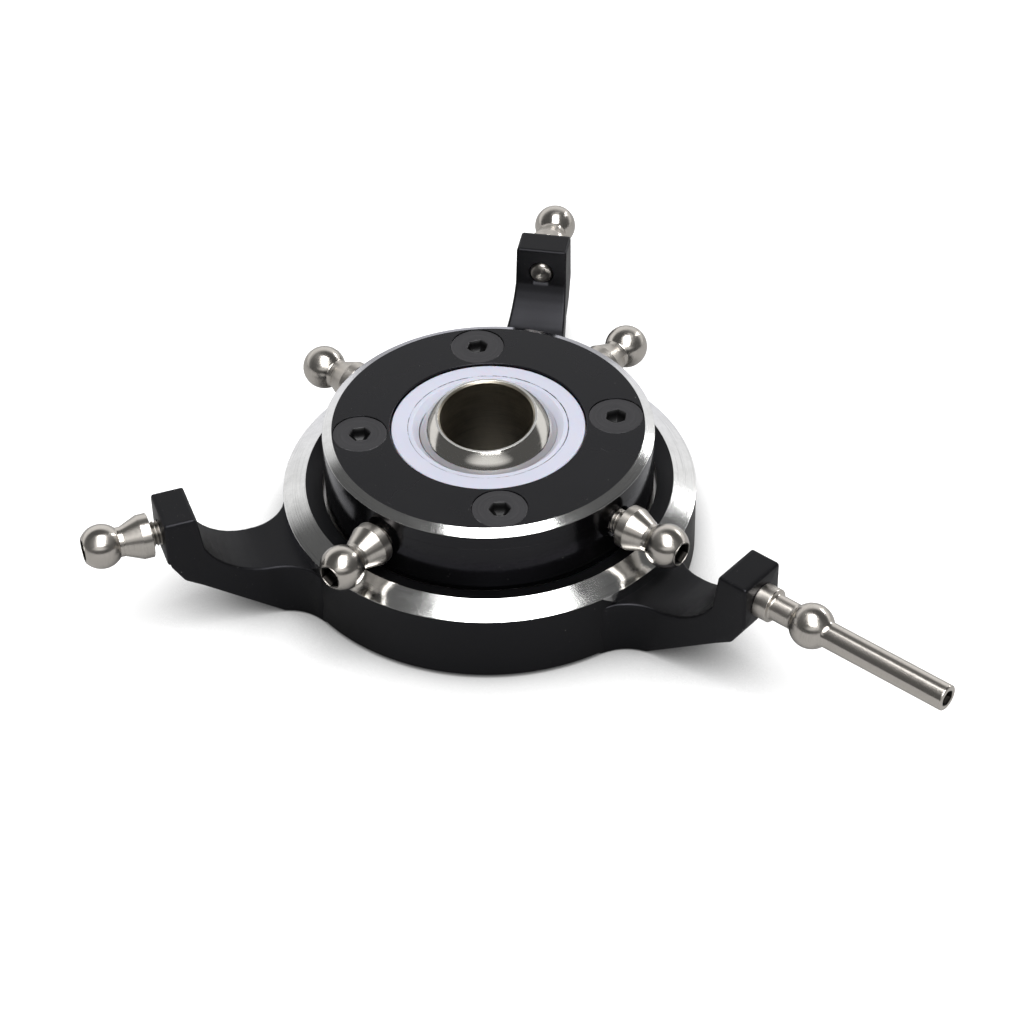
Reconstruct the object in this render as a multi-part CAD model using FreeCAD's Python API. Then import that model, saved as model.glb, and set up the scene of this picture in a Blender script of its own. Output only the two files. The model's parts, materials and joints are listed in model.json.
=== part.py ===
import FreeCAD, Part
import math
import os

from FreeCAD import Vector

# Helicopter swashplate, millimetres.
# Origin: centre of the centre ball, on the main shaft axis. +Z points up the shaft, away from the arms.
# +X points out along the arm that carries the guide pin. All seven link balls lie in the plane z = 0.

# Main shaft and centre ball
SHAFT_R = 5.0
BALL_R = 8.0
BALL_END_Z = 5.86
BORE_CHAMFER = 0.15
BALL_LEAN = 6.7
BALL_LEANS_TOWARDS = -62.6

# Link balls and their studs
LINK_BALL_R = 2.375
STAR_LINK_R = 23.95
ARM_LINK_R = 42.85
THREAD_R = 1.25
THREAD_PLAY = 0.03
STUD_FLAT = 1.95
STUD_NECK_R = 1.6
STUD_FLANGE_R = 2.35
STUD_CONE_START = 2.25
STUD_CONE_END = 4.15
STUD_FLANGE_END = 5.2
STUD_EDGE = 0.12
STUD_TIP = 9.75
STUD_TIP_CHAMFER = 0.25
STUD_KEY = 2.0
STUD_KEY_DEPTH = 1.6
PIN_R = 1.4
PIN_REACH = 16.4
PIN_EDGE = 0.15
PIN_FLANGE_R = 1.85
PIN_FLANGE_Z = 4.5
PIN_FLANGE_ROUND = 0.25
PIN_KEY = 1.5
PIN_KEY_DEPTH = 2.2

# Rotating star
STAR_TURN = 0.6
STAR_R = 17.8
STAR_TOP_Z = 4.0
STAR_SPLIT_Z = 1.9
STAR_RIM_END_Z = -4.0
STAR_RIM_CHAMFER = 0.25
TOP_FACE_R = 16.77
TOP_CHAMFER = 0.5
PLATE_BORE_R = 10.56
SEAT_BORE_R = 10.42
SEAT_BORE_END_Z = -3.8
SEAT_FLANGE_R = 11.6
SEAT_FLANGE_Z = 0.65
FLANGE_PLAY = 0.05
SLEEVE_R = 15.0
SLEEVE_BORE_R = 12.6
SLEEVE_BORE_TOP_Z = -5.1
SLEEVE_END_Z = -10.4
SLEEVE_CHAMFER = 0.3
HUB_GROOVE_DEPTH = 0.8
SCREW_CIRCLE_R = 13.75
SCREW_R = 1.5
SCREW_HEAD_R = 2.95
SCREW_END_Z = -2.0
SCREW_SINK = 0.08
SCREW_RIM = 0.12
SCREW_PLAY = 0.1
SCREW_TIP_CHAMFER = 0.3
SCREW_KEY = 2.0
SCREW_KEY_DEPTH = 1.3
SCREW_HOLE_RESERVE = 0.8
STUD_MOUTH = 0.5

# Plastic seat ring and the two liner halves round the centre ball
SEAT_PLAY = 0.05
SEAT_RING_R = 10.38
SEAT_TOP_Z = 3.9
SEAT_EDGE = 0.12
LIP_R = 8.6
LIP_Z = 2.65
CATCH_R = 9.1
SEAT_END_Z = -3.7
LINER_R = 9.5
LINER_TOP_Z = 3.9
LINER_END_Z = -3.2
LINER_MOUTH_R = 8.1
LINER_FOOT_CHAMFER = 0.6
LINER_PLAY = 0.04
BOWL_TOP_Z = 3.1
BOWL_END_Z = -3.0

# Thin ball bearing between star and fixed ring
BEARING_TOP_Z = -4.6
BEARING_WIDTH = 4.0
BEARING_R = 18.5
PITCH_R = 16.75
ROLLER_R = 1.1
GROOVE_PLAY = 0.03
INNER_LAND_R = 16.15
OUTER_LAND_R = 17.35
ROLLER_COUNT = 14
POCKET_PLAY = 0.08
CAGE_PLAY = 0.25
CAGE_HALF_WIDTH = 1.45
SHIELD_SEAT_R = 17.8
SHIELD_SEAT_DEPTH = 0.35
SHIELD_THICKNESS = 0.2
SHIELD_PLAY = 0.2
CLIP_THICKNESS = 1.0
CLIP_PLAY = 0.05
CLIP_GAP = 5.0
CLIP_EAR_ANGLE = 11.5
CLIP_EAR_WIDTH = 2.6
CLIP_EAR_HOLE_R = 0.5
CLIP_FACING = 180.0
HUB_CLIP_PLAY = 0.15
HUB_CLIP_GAP = 3.0
HUB_CLIP_FACING = 200.0

# Fixed ring
RING_R = 22.4
RING_BOTTOM_Z = -12.0
RING_EDGE_Z = -4.05
CREST_R = 19.93
CREST_Z = -2.96
MOUTH_R = 18.1
MOUTH_Z = -3.5
RING_CHAMFER = 0.5
SEAT_LEAD_IN = 0.6
CLIP_GROOVE_R = 19.4

# Arms, in the vertical plane through each arm
ARM_ANGLES = {"guide": 0.0, "back": 120.0, "left": 240.0}
ARM_ROOT_TOP_Z = -5.45
ARM_ROOT_BOTTOM_Z = -11.9
ARM_OVERLAP = 2.0
ARM_RISE_START_R = 25.5
ARM_RISE_MIDDLE_R = 31.0
ARM_RISE_MIDDLE_Z = -3.15
ARM_RISE_END_R = 32.55
ARM_RISE_END_Z = -1.2
BELLY_START_R = 24.7
BELLY_END_R = 34.95
BELLY_END_Z = -5.0
BLOCK_CORNER_Z = -2.2
BLOCK_EDGE = 0.15
BLOCK_IN_R = 33.05
BLOCK_OUT_R = 36.6
BLOCK_TOP_Z = 3.0
BLOCK_HALF_WIDTH = 2.9
ARM_HALF_WIDTH = 3.6
ARM_FILLET_R = 5.0


def point(r, z):
    """A point of a half section, in the plane through +X and the shaft axis."""
    return Vector(r, 0, z)


def outline(start, *steps):
    """Closed wire from a start point. A step is a point, or (through, end) for an arc."""
    edges = []
    here = start
    for step in steps:
        if isinstance(step, tuple):
            through, end = step
            edges.append(Part.Arc(here, through, end).toShape())
        else:
            end = step
            edges.append(Part.makeLine(here, end))
        here = end
    if here.distanceToPoint(start) > 1e-6:
        edges.append(Part.makeLine(here, start))
    return Part.Wire(edges)


def turned(wire, axis=Vector(0, 0, 1)):
    """A part made on the lathe: the closed half section, once round the axis."""
    return Part.Face(wire).revolve(Vector(0, 0, 0), axis, 360)


def turn(shape, angle):
    """A copy of the shape, turned about the shaft axis by an angle in degrees."""
    copy = shape.copy()
    copy.rotate(Vector(0, 0, 0), Vector(0, 0, 1), angle)
    return copy


def rod(radius, start, end):
    """A round bar along +X between two distances from the shaft axis."""
    return Part.makeCylinder(radius, end - start, Vector(start, 0, 0), Vector(1, 0, 0))


def hex_bar(across_flats, base, direction, depth):
    """A hexagonal bar: what a hexagon key fills when it is in its socket."""
    corner_r = across_flats / math.sqrt(3)
    side = Vector(0, 1, 0)
    corners = []
    for index in range(7):
        spin = FreeCAD.Rotation(direction, 60.0 * index)
        corners.append(base + spin.multVec(side) * corner_r)
    return Part.Face(Part.makePolygon(corners)).extrude(direction * depth)


def groove_arc(land_r, sign, middle_z):
    """Half height of a race groove at the land, and the arc's deepest radius."""
    radius = ROLLER_R + GROOVE_PLAY
    half = math.sqrt(radius ** 2 - (land_r - PITCH_R) ** 2)
    deepest = point(PITCH_R + sign * radius, middle_z)
    return half, deepest


# ---- Centre ball and its plastic bearing ----

def center_ball():
    """Ball with flat ends that slides on the main shaft, bored and chamfered at both ends.
    It rests a little off upright, as it does when nothing holds it."""
    end_r = math.sqrt(BALL_R ** 2 - BALL_END_Z ** 2)
    mouth_r = SHAFT_R + BORE_CHAMFER
    ball = turned(outline(
        point(SHAFT_R, BALL_END_Z - BORE_CHAMFER),
        point(mouth_r, BALL_END_Z),
        point(end_r, BALL_END_Z),
        (point(BALL_R, 0), point(end_r, -BALL_END_Z)),
        point(mouth_r, -BALL_END_Z),
        point(SHAFT_R, BORE_CHAMFER - BALL_END_Z)))
    ball.rotate(Vector(0, 0, 0), Vector(0, 1, 0), BALL_LEAN)
    return turn(ball, BALL_LEANS_TOWARDS)


def liner_half(top):
    """One half of the split inner race. The two halves meet at the ball's equator."""
    bowl_r = BALL_R + LINER_PLAY
    rim_z = BOWL_TOP_Z if top else BOWL_END_Z
    rim_r = math.sqrt(bowl_r ** 2 - rim_z ** 2)
    middle = point(bowl_r * math.cos(math.asin(rim_z / 2 / bowl_r)), rim_z / 2)
    start = point(bowl_r, 0)
    if top:
        lip_r = LIP_R - SEAT_PLAY
        step_z = LIP_Z - SEAT_PLAY
        return turned(outline(
            start,
            (middle, point(rim_r, rim_z)),
            point(LINER_MOUTH_R, LINER_TOP_Z),
            point(lip_r, LINER_TOP_Z),
            point(lip_r, step_z),
            point(LINER_R, step_z),
            point(LINER_R, 0)))
    return turned(outline(
        start,
        (middle, point(rim_r, rim_z)),
        point(rim_r + LINER_FOOT_CHAMFER, LINER_END_Z),
        point(LINER_R, LINER_END_Z),
        point(LINER_R, 0)))


def ball_seat_ring():
    """White ring that holds the liner. Its flange is trapped under the top plate."""
    inner_r = LINER_R + SEAT_PLAY
    catch_z = LINER_END_Z - SEAT_PLAY
    return turned(outline(
        point(LIP_R, LIP_Z),
        point(LIP_R, SEAT_TOP_Z - SEAT_EDGE),
        point(LIP_R + SEAT_EDGE, SEAT_TOP_Z),
        point(SEAT_RING_R - SEAT_EDGE, SEAT_TOP_Z),
        point(SEAT_RING_R, SEAT_TOP_Z - SEAT_EDGE),
        point(SEAT_RING_R, STAR_SPLIT_Z),
        point(SEAT_FLANGE_R, STAR_SPLIT_Z),
        point(SEAT_FLANGE_R, SEAT_FLANGE_Z),
        point(SEAT_RING_R, SEAT_FLANGE_Z),
        point(SEAT_RING_R, SEAT_END_Z),
        point(CATCH_R, SEAT_END_Z),
        point(CATCH_R, catch_z),
        point(inner_r, catch_z),
        point(inner_r, LIP_Z)))


# ---- Rotating star ----

def star_body():
    """Rim that takes the ball studs, with the sleeve below it that carries the bearing."""
    land_r = INNER_LAND_R - CLIP_PLAY
    clip_top_z = BEARING_TOP_Z - BEARING_WIDTH
    clip_end_z = clip_top_z - CLIP_THICKNESS - CLIP_PLAY
    groove_r = SLEEVE_R - HUB_GROOVE_DEPTH
    pocket_r = SEAT_FLANGE_R + FLANGE_PLAY
    body = turned(outline(
        point(pocket_r, STAR_SPLIT_Z),
        point(STAR_R, STAR_SPLIT_Z),
        point(STAR_R, STAR_RIM_END_Z + STAR_RIM_CHAMFER),
        point(STAR_R - STAR_RIM_CHAMFER, STAR_RIM_END_Z),
        point(land_r, STAR_RIM_END_Z),
        point(land_r, BEARING_TOP_Z),
        point(SLEEVE_R, BEARING_TOP_Z),
        point(SLEEVE_R, clip_top_z),
        point(groove_r, clip_top_z),
        point(groove_r, clip_end_z),
        point(SLEEVE_R, clip_end_z),
        point(SLEEVE_R, SLEEVE_END_Z + SLEEVE_CHAMFER),
        point(SLEEVE_R - SLEEVE_CHAMFER, SLEEVE_END_Z),
        point(SLEEVE_BORE_R + SLEEVE_CHAMFER, SLEEVE_END_Z),
        point(SLEEVE_BORE_R, SLEEVE_END_Z + SLEEVE_CHAMFER),
        point(SLEEVE_BORE_R, SLEEVE_BORE_TOP_Z),
        point(SEAT_BORE_R, SEAT_BORE_END_Z),
        point(SEAT_BORE_R, SEAT_FLANGE_Z),
        point(pocket_r, SEAT_FLANGE_Z)))
    stud_hole = rod(THREAD_R, SLEEVE_BORE_R, STAR_R + STUD_MOUTH)
    mouth_start = Vector(STAR_R - STUD_MOUTH, 0, 0)
    mouth_end_r = THREAD_R + 2 * STUD_MOUTH
    stud_mouth = Part.makeCone(THREAD_R, mouth_end_r, 2 * STUD_MOUTH, mouth_start, Vector(1, 0, 0))
    screw_depth = STAR_SPLIT_Z - SCREW_END_Z + SCREW_HOLE_RESERVE
    screw_foot = Vector(SCREW_CIRCLE_R, 0, STAR_SPLIT_Z - screw_depth)
    screw_hole = Part.makeCylinder(SCREW_R, screw_depth, screw_foot)
    for quarter in range(4):
        body = body.cut(turn(stud_hole.fuse(stud_mouth), STAR_TURN + 90 * quarter))
        body = body.cut(turn(screw_hole, STAR_TURN + 45 + 90 * quarter))
    return body


def star_top_plate():
    """Cover plate of the star, with a bright chamfer round its rim and four countersinks."""
    plate = turned(outline(
        point(PLATE_BORE_R, STAR_SPLIT_Z),
        point(STAR_R, STAR_SPLIT_Z),
        point(STAR_R, STAR_TOP_Z - TOP_CHAMFER),
        point(TOP_FACE_R, STAR_TOP_Z),
        point(PLATE_BORE_R, STAR_TOP_Z)))
    mouth_r = SCREW_HEAD_R + SCREW_PLAY
    throat_r = SCREW_R + SCREW_PLAY
    mouth_z = STAR_TOP_Z - SCREW_PLAY
    sink = turned(outline(
        point(0, STAR_TOP_Z + 1),
        point(mouth_r, STAR_TOP_Z + 1),
        point(mouth_r, mouth_z),
        point(throat_r, mouth_z - mouth_r + throat_r),
        point(throat_r, STAR_SPLIT_Z - 1),
        point(0, STAR_SPLIT_Z - 1)))
    sink.translate(Vector(SCREW_CIRCLE_R, 0, 0))
    for quarter in range(4):
        plate = plate.cut(turn(sink, STAR_TURN + 45 + 90 * quarter))
    return plate


def star_plate_screws():
    """Four M3 countersunk screws with hexagon sockets, heads just below flush."""
    top_z = STAR_TOP_Z - SCREW_SINK
    edge_z = top_z - SCREW_RIM
    shank_r = SCREW_R - THREAD_PLAY
    screw = turned(outline(
        point(0, top_z),
        point(SCREW_HEAD_R - SCREW_SINK, top_z),
        point(SCREW_HEAD_R, edge_z),
        point(shank_r, edge_z - SCREW_HEAD_R + shank_r),
        point(shank_r, SCREW_END_Z + SCREW_TIP_CHAMFER),
        point(shank_r - SCREW_TIP_CHAMFER, SCREW_END_Z),
        point(0, SCREW_END_Z)))
    screw = screw.cut(hex_bar(SCREW_KEY, Vector(0, 0, top_z), Vector(0, 0, -1), SCREW_KEY_DEPTH))
    screw.translate(Vector(SCREW_CIRCLE_R, 0, 0))
    return Part.makeCompound([turn(screw, STAR_TURN + 45 + 90 * quarter) for quarter in range(4)])


def slot_block(reach_from, reach_to, gap, top_z, bottom_z):
    """A block across +X that opens the gap of a sprung clip."""
    corner = Vector(reach_from, -gap / 2, bottom_z - 1)
    return Part.makeBox(reach_to - reach_from, gap, top_z - bottom_z + 2, corner)


def hub_snap_ring():
    """Split ring in the sleeve's groove that keeps the inner race on."""
    top_z = BEARING_TOP_Z - BEARING_WIDTH
    bottom_z = top_z - CLIP_THICKNESS
    inside_r = SLEEVE_R - HUB_GROOVE_DEPTH + CLIP_PLAY
    outside_r = INNER_LAND_R - HUB_CLIP_PLAY
    ring = turned(outline(
        point(inside_r, top_z),
        point(outside_r, top_z),
        point(outside_r, bottom_z),
        point(inside_r, bottom_z)))
    gap = slot_block(inside_r - 1, outside_r + 1, HUB_CLIP_GAP, top_z, bottom_z)
    return ring.cut(turn(gap, HUB_CLIP_FACING))


# ---- Bearing ----

def bearing_inner_race():
    """Inner race with its ball groove, pushed onto the star's sleeve."""
    middle_z = BEARING_TOP_Z - BEARING_WIDTH / 2
    half, deepest = groove_arc(INNER_LAND_R, -1, middle_z)
    bottom_z = BEARING_TOP_Z - BEARING_WIDTH
    return turned(outline(
        point(SLEEVE_R, BEARING_TOP_Z),
        point(INNER_LAND_R, BEARING_TOP_Z),
        point(INNER_LAND_R, middle_z + half),
        (deepest, point(INNER_LAND_R, middle_z - half)),
        point(INNER_LAND_R, bottom_z),
        point(SLEEVE_R, bottom_z)))


def bearing_outer_race():
    """Outer race with its ball groove and a step on each side for a shield."""
    middle_z = BEARING_TOP_Z - BEARING_WIDTH / 2
    half, deepest = groove_arc(OUTER_LAND_R, 1, middle_z)
    bottom_z = BEARING_TOP_Z - BEARING_WIDTH
    return turned(outline(
        point(BEARING_R, BEARING_TOP_Z),
        point(SHIELD_SEAT_R, BEARING_TOP_Z),
        point(SHIELD_SEAT_R, BEARING_TOP_Z - SHIELD_SEAT_DEPTH),
        point(OUTER_LAND_R, BEARING_TOP_Z - SHIELD_SEAT_DEPTH),
        point(OUTER_LAND_R, middle_z + half),
        (deepest, point(OUTER_LAND_R, middle_z - half)),
        point(OUTER_LAND_R, bottom_z + SHIELD_SEAT_DEPTH),
        point(SHIELD_SEAT_R, bottom_z + SHIELD_SEAT_DEPTH),
        point(SHIELD_SEAT_R, bottom_z),
        point(BEARING_R, bottom_z)))


def bearing_shield(top):
    """Thin washer pressed into the outer race, clear of the inner one."""
    if top:
        base_z = BEARING_TOP_Z - SHIELD_SEAT_DEPTH
    else:
        base_z = BEARING_TOP_Z - BEARING_WIDTH + SHIELD_SEAT_DEPTH - SHIELD_THICKNESS
    return turned(outline(
        point(INNER_LAND_R + SHIELD_PLAY, base_z),
        point(SHIELD_SEAT_R, base_z),
        point(SHIELD_SEAT_R, base_z + SHIELD_THICKNESS),
        point(INNER_LAND_R + SHIELD_PLAY, base_z + SHIELD_THICKNESS)))


def roller(radius):
    """A ball at the pitch circle, on +X."""
    return Part.makeSphere(radius, Vector(PITCH_R, 0, BEARING_TOP_Z - BEARING_WIDTH / 2))


def bearing_balls():
    """The full set of bearing balls."""
    step = 360.0 / ROLLER_COUNT
    return Part.makeCompound([turn(roller(ROLLER_R), step * index) for index in range(ROLLER_COUNT)])


def bearing_cage():
    """Ring between the races with one pocket per ball."""
    middle_z = BEARING_TOP_Z - BEARING_WIDTH / 2
    inner_r = INNER_LAND_R + CAGE_PLAY
    outer_r = OUTER_LAND_R - CAGE_PLAY
    cage = turned(outline(
        point(inner_r, middle_z - CAGE_HALF_WIDTH),
        point(outer_r, middle_z - CAGE_HALF_WIDTH),
        point(outer_r, middle_z + CAGE_HALF_WIDTH),
        point(inner_r, middle_z + CAGE_HALF_WIDTH)))
    step = 360.0 / ROLLER_COUNT
    pocket = rod(ROLLER_R + POCKET_PLAY, inner_r - 1, outer_r + 1)
    pocket.translate(Vector(0, 0, middle_z))
    for index in range(ROLLER_COUNT):
        cage = cage.cut(turn(pocket, step * index))
    return cage


def bearing_circlip():
    """Internal circlip in the fixed ring's groove, with two drilled ears for the pliers."""
    top_z = BEARING_TOP_Z - BEARING_WIDTH
    bottom_z = top_z - CLIP_THICKNESS
    inner_r = BEARING_R - 0.9 * CLIP_THICKNESS
    outer_r = CLIP_GROOVE_R - CLIP_PLAY
    ear_r = INNER_LAND_R + CAGE_PLAY
    band = turned(outline(
        point(inner_r, bottom_z),
        point(outer_r, bottom_z),
        point(outer_r, top_z),
        point(inner_r, top_z)))
    band = band.cut(slot_block(inner_r - 1, outer_r + 1, CLIP_GAP, top_z, bottom_z))
    ear_length = (inner_r + outer_r) / 2 - ear_r
    ear_corner = Vector(ear_r, -CLIP_EAR_WIDTH / 2, bottom_z)
    ear = Part.makeBox(ear_length, CLIP_EAR_WIDTH, CLIP_THICKNESS, ear_corner)
    hole_foot = Vector(ear_r + 2 * CLIP_EAR_HOLE_R, 0, bottom_z - 1)
    hole = Part.makeCylinder(CLIP_EAR_HOLE_R, CLIP_THICKNESS + 2, hole_foot)
    for side in (-1, 1):
        band = band.fuse(turn(ear, side * CLIP_EAR_ANGLE))
        band = band.cut(turn(hole, side * CLIP_EAR_ANGLE))
    return turn(band, CLIP_FACING).removeSplitter()


# ---- Ball studs ----

def stud_at(wire, socket, link_r, angle):
    """Turn a stud's half section about its own axis, sink its socket and put it in place."""
    stud = turned(wire, Vector(1, 0, 0))
    stud = stud.cut(socket)
    stud.translate(Vector(link_r, 0, 0))
    return turn(stud, angle)


def ball_stud(link_r, angle):
    """Link ball, waist, conical shoulder and thread in one turned piece."""
    flat_r = math.sqrt(LINK_BALL_R ** 2 - STUD_FLAT ** 2)
    neck_start = math.sqrt(LINK_BALL_R ** 2 - STUD_NECK_R ** 2)
    thread_r = THREAD_R - THREAD_PLAY
    wire = outline(
        point(STUD_FLAT, 0),
        point(STUD_FLAT, flat_r),
        (point(0, LINK_BALL_R), point(-neck_start, STUD_NECK_R)),
        point(-STUD_CONE_START, STUD_NECK_R),
        point(-STUD_CONE_END, STUD_FLANGE_R),
        point(STUD_EDGE - STUD_FLANGE_END, STUD_FLANGE_R),
        point(-STUD_FLANGE_END, STUD_FLANGE_R - STUD_EDGE),
        point(-STUD_FLANGE_END, thread_r),
        point(STUD_TIP_CHAMFER - STUD_TIP, thread_r),
        point(-STUD_TIP, thread_r - STUD_TIP_CHAMFER),
        point(-STUD_TIP, 0))
    socket = hex_bar(STUD_KEY, Vector(STUD_FLAT, 0, 0), Vector(-1, 0, 0), STUD_KEY_DEPTH)
    return stud_at(wire, socket, link_r, angle)


def guide_pin_stud():
    """Link ball with a long plain pin that runs in the anti-rotation guide."""
    thread_r = THREAD_R - THREAD_PLAY
    pin_start = math.sqrt(LINK_BALL_R ** 2 - PIN_R ** 2)
    seat = ARM_LINK_R - BLOCK_OUT_R
    bend = PIN_FLANGE_ROUND / math.sqrt(2)
    hollow_z = PIN_FLANGE_ROUND - PIN_FLANGE_Z
    foot = point(-PIN_FLANGE_Z, PIN_R + PIN_FLANGE_ROUND)
    wire = outline(
        point(PIN_REACH, 0),
        point(PIN_REACH, PIN_R - PIN_EDGE),
        point(PIN_REACH - PIN_EDGE, PIN_R),
        point(pin_start, PIN_R),
        (point(0, LINK_BALL_R), point(-pin_start, PIN_R)),
        point(hollow_z, PIN_R),
        (point(hollow_z - bend, PIN_R + PIN_FLANGE_ROUND - bend), foot),
        point(-PIN_FLANGE_Z, PIN_FLANGE_R),
        point(PIN_EDGE - seat, PIN_FLANGE_R),
        point(-seat, PIN_FLANGE_R - PIN_EDGE),
        point(-seat, thread_r),
        point(STUD_TIP_CHAMFER - STUD_TIP, thread_r),
        point(-STUD_TIP, thread_r - STUD_TIP_CHAMFER),
        point(-STUD_TIP, 0))
    socket = hex_bar(PIN_KEY, Vector(PIN_REACH, 0, 0), Vector(-1, 0, 0), PIN_KEY_DEPTH)
    return stud_at(wire, socket, ARM_LINK_R, ARM_ANGLES["guide"])


# ---- Fixed ring with its three arms ----

def ring_blank():
    """The turned ring: dished top, bright chamfer, bearing seat, circlip groove and skirt."""
    seat_end_z = BEARING_TOP_Z - BEARING_WIDTH
    groove_end_z = seat_end_z - CLIP_THICKNESS - CLIP_PLAY
    return turned(outline(
        point(MOUTH_R, BEARING_TOP_Z),
        point(MOUTH_R, MOUTH_Z),
        point(CREST_R, CREST_Z),
        point(RING_R, RING_EDGE_Z),
        point(RING_R, RING_BOTTOM_Z + RING_CHAMFER),
        point(RING_R - RING_CHAMFER, RING_BOTTOM_Z),
        point(BEARING_R + SEAT_LEAD_IN, RING_BOTTOM_Z),
        point(BEARING_R, RING_BOTTOM_Z + SEAT_LEAD_IN),
        point(BEARING_R, groove_end_z),
        point(CLIP_GROOVE_R, groove_end_z),
        point(CLIP_GROOVE_R, seat_end_z),
        point(BEARING_R, seat_end_z),
        point(BEARING_R, BEARING_TOP_Z)))


def arm_side():
    """Side view of an arm: flat root, a long curve up into the upright block, sloping belly."""
    root_r = RING_R - ARM_OVERLAP
    rise_middle = point(ARM_RISE_MIDDLE_R, ARM_RISE_MIDDLE_Z)
    wire = outline(
        point(root_r, ARM_ROOT_TOP_Z),
        point(ARM_RISE_START_R, ARM_ROOT_TOP_Z),
        (rise_middle, point(ARM_RISE_END_R, ARM_RISE_END_Z)),
        point(BLOCK_IN_R, BLOCK_TOP_Z - BLOCK_EDGE),
        point(BLOCK_IN_R + BLOCK_EDGE, BLOCK_TOP_Z),
        point(BLOCK_OUT_R - BLOCK_EDGE, BLOCK_TOP_Z),
        point(BLOCK_OUT_R, BLOCK_TOP_Z - BLOCK_EDGE),
        point(BLOCK_OUT_R, BLOCK_CORNER_Z),
        point(BELLY_END_R, BELLY_END_Z),
        point(BELLY_START_R, ARM_ROOT_BOTTOM_Z),
        point(root_r, ARM_ROOT_BOTTOM_Z))
    width = 2 * RING_R
    return Part.Face(wire).extrude(Vector(0, width, 0)).translated(Vector(0, -width / 2, 0))


def arm_plan():
    """Top view of an arm: a slight taper, with a round fillet each side into the ring."""
    centre_r = RING_R + ARM_FILLET_R - THREAD_PLAY
    centre_v = ARM_HALF_WIDTH + ARM_FILLET_R
    centre_u = math.sqrt(centre_r ** 2 - centre_v ** 2)
    ring_u = centre_u * (1 - ARM_FILLET_R / centre_r)
    ring_v = centre_v * (1 - ARM_FILLET_R / centre_r)
    middle = math.radians(180 + (90 + math.degrees(math.atan2(centre_v, centre_u))) / 2)
    through_u = centre_u + ARM_FILLET_R * math.cos(middle)
    through_v = centre_v + ARM_FILLET_R * math.sin(middle)
    root_r = RING_R - ARM_OVERLAP
    root_angle = math.atan2(ring_v, ring_u)
    base_z = RING_BOTTOM_Z - 1
    inner = Vector(root_r * math.cos(root_angle), root_r * math.sin(root_angle), base_z)
    half = [
        inner,
        Vector(ring_u, ring_v, base_z),
        Vector(through_u, through_v, base_z),
        Vector(centre_u, ARM_HALF_WIDTH, base_z),
        Vector(BLOCK_IN_R, BLOCK_HALF_WIDTH, base_z),
        Vector(BLOCK_OUT_R + 1, BLOCK_HALF_WIDTH, base_z)]
    other = [Vector(p.x, -p.y, p.z) for p in half]
    wire = outline(
        half[0], half[1], (half[2], half[3]), half[4], half[5],
        other[5], other[4], other[3], (other[2], other[1]), other[0])
    return Part.Face(wire).extrude(Vector(0, 0, BLOCK_TOP_Z - base_z + 1))


def fixed_ring():
    """Ring and arms, milled from one piece, with a tapped hole through each block."""
    ring = ring_blank()
    arm = arm_side().common(arm_plan())
    arm = arm.cut(rod(THREAD_R, ARM_RISE_MIDDLE_R, BLOCK_OUT_R + 1))
    for angle in ARM_ANGLES.values():
        ring = ring.fuse(turn(arm, angle))
    return ring.removeSplitter()


NODES = {
    "fixed_ring": fixed_ring(),
    "bearing_outer_race": bearing_outer_race(),
    "bearing_shield_top": bearing_shield(True),
    "bearing_shield_bottom": bearing_shield(False),
    "bearing_circlip": bearing_circlip(),
    "guide_pin_stud": guide_pin_stud(),
    "arm_ball_stud_back": ball_stud(ARM_LINK_R, ARM_ANGLES["back"]),
    "arm_ball_stud_left": ball_stud(ARM_LINK_R, ARM_ANGLES["left"]),
    "star_body": star_body(),
    "star_top_plate": star_top_plate(),
    "star_plate_screws": star_plate_screws(),
    "ball_seat_ring": ball_seat_ring(),
    "bearing_inner_race": bearing_inner_race(),
    "hub_snap_ring": hub_snap_ring(),
    "bearing_cage": bearing_cage(),
    "bearing_balls": bearing_balls(),
    "liner_upper": liner_half(True),
    "liner_lower": liner_half(False),
    "center_ball": center_ball(),
}
for number in range(4):
    NODES["star_ball_stud_%d" % (number + 1)] = ball_stud(STAR_LINK_R, STAR_TURN + 90 * number)

os.makedirs("parts", exist_ok=True)
for name, shape in NODES.items():
    shape.exportStep("parts/%s.step" % name)
    print(name, len(shape.Solids), round(shape.Volume, 2), shape.isValid())
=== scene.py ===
import json
import math

import bmesh
import bpy
import numpy as np
from mathutils import Matrix, Quaternion, Vector


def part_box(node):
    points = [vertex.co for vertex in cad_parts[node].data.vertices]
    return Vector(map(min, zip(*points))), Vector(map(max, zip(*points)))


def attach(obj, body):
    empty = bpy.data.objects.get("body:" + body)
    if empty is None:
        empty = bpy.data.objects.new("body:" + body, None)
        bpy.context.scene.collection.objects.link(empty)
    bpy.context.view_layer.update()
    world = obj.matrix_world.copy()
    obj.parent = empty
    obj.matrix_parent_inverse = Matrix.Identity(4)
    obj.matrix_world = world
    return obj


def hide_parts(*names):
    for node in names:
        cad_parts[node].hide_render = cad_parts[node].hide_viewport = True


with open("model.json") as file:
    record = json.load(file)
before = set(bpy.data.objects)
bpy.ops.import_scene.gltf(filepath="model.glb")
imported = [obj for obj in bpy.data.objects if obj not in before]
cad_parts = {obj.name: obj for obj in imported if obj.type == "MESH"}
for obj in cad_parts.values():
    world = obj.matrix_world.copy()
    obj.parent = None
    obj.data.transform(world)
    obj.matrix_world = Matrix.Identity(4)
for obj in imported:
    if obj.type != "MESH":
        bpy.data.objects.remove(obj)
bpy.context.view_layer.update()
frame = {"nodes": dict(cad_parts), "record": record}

# ----------------------------------------------------------------------
# Fixed ring: the part of the swashplate that doesn't spin. It is turned from aluminium bar, anodised satin
# black, and then the wide chamfer round its top edge is cut again, so that it stays bright bare metal.
# The same cut leaves a bare patch on the wall above the root of each arm.
# ----------------------------------------------------------------------
MM = 0.001
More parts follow.
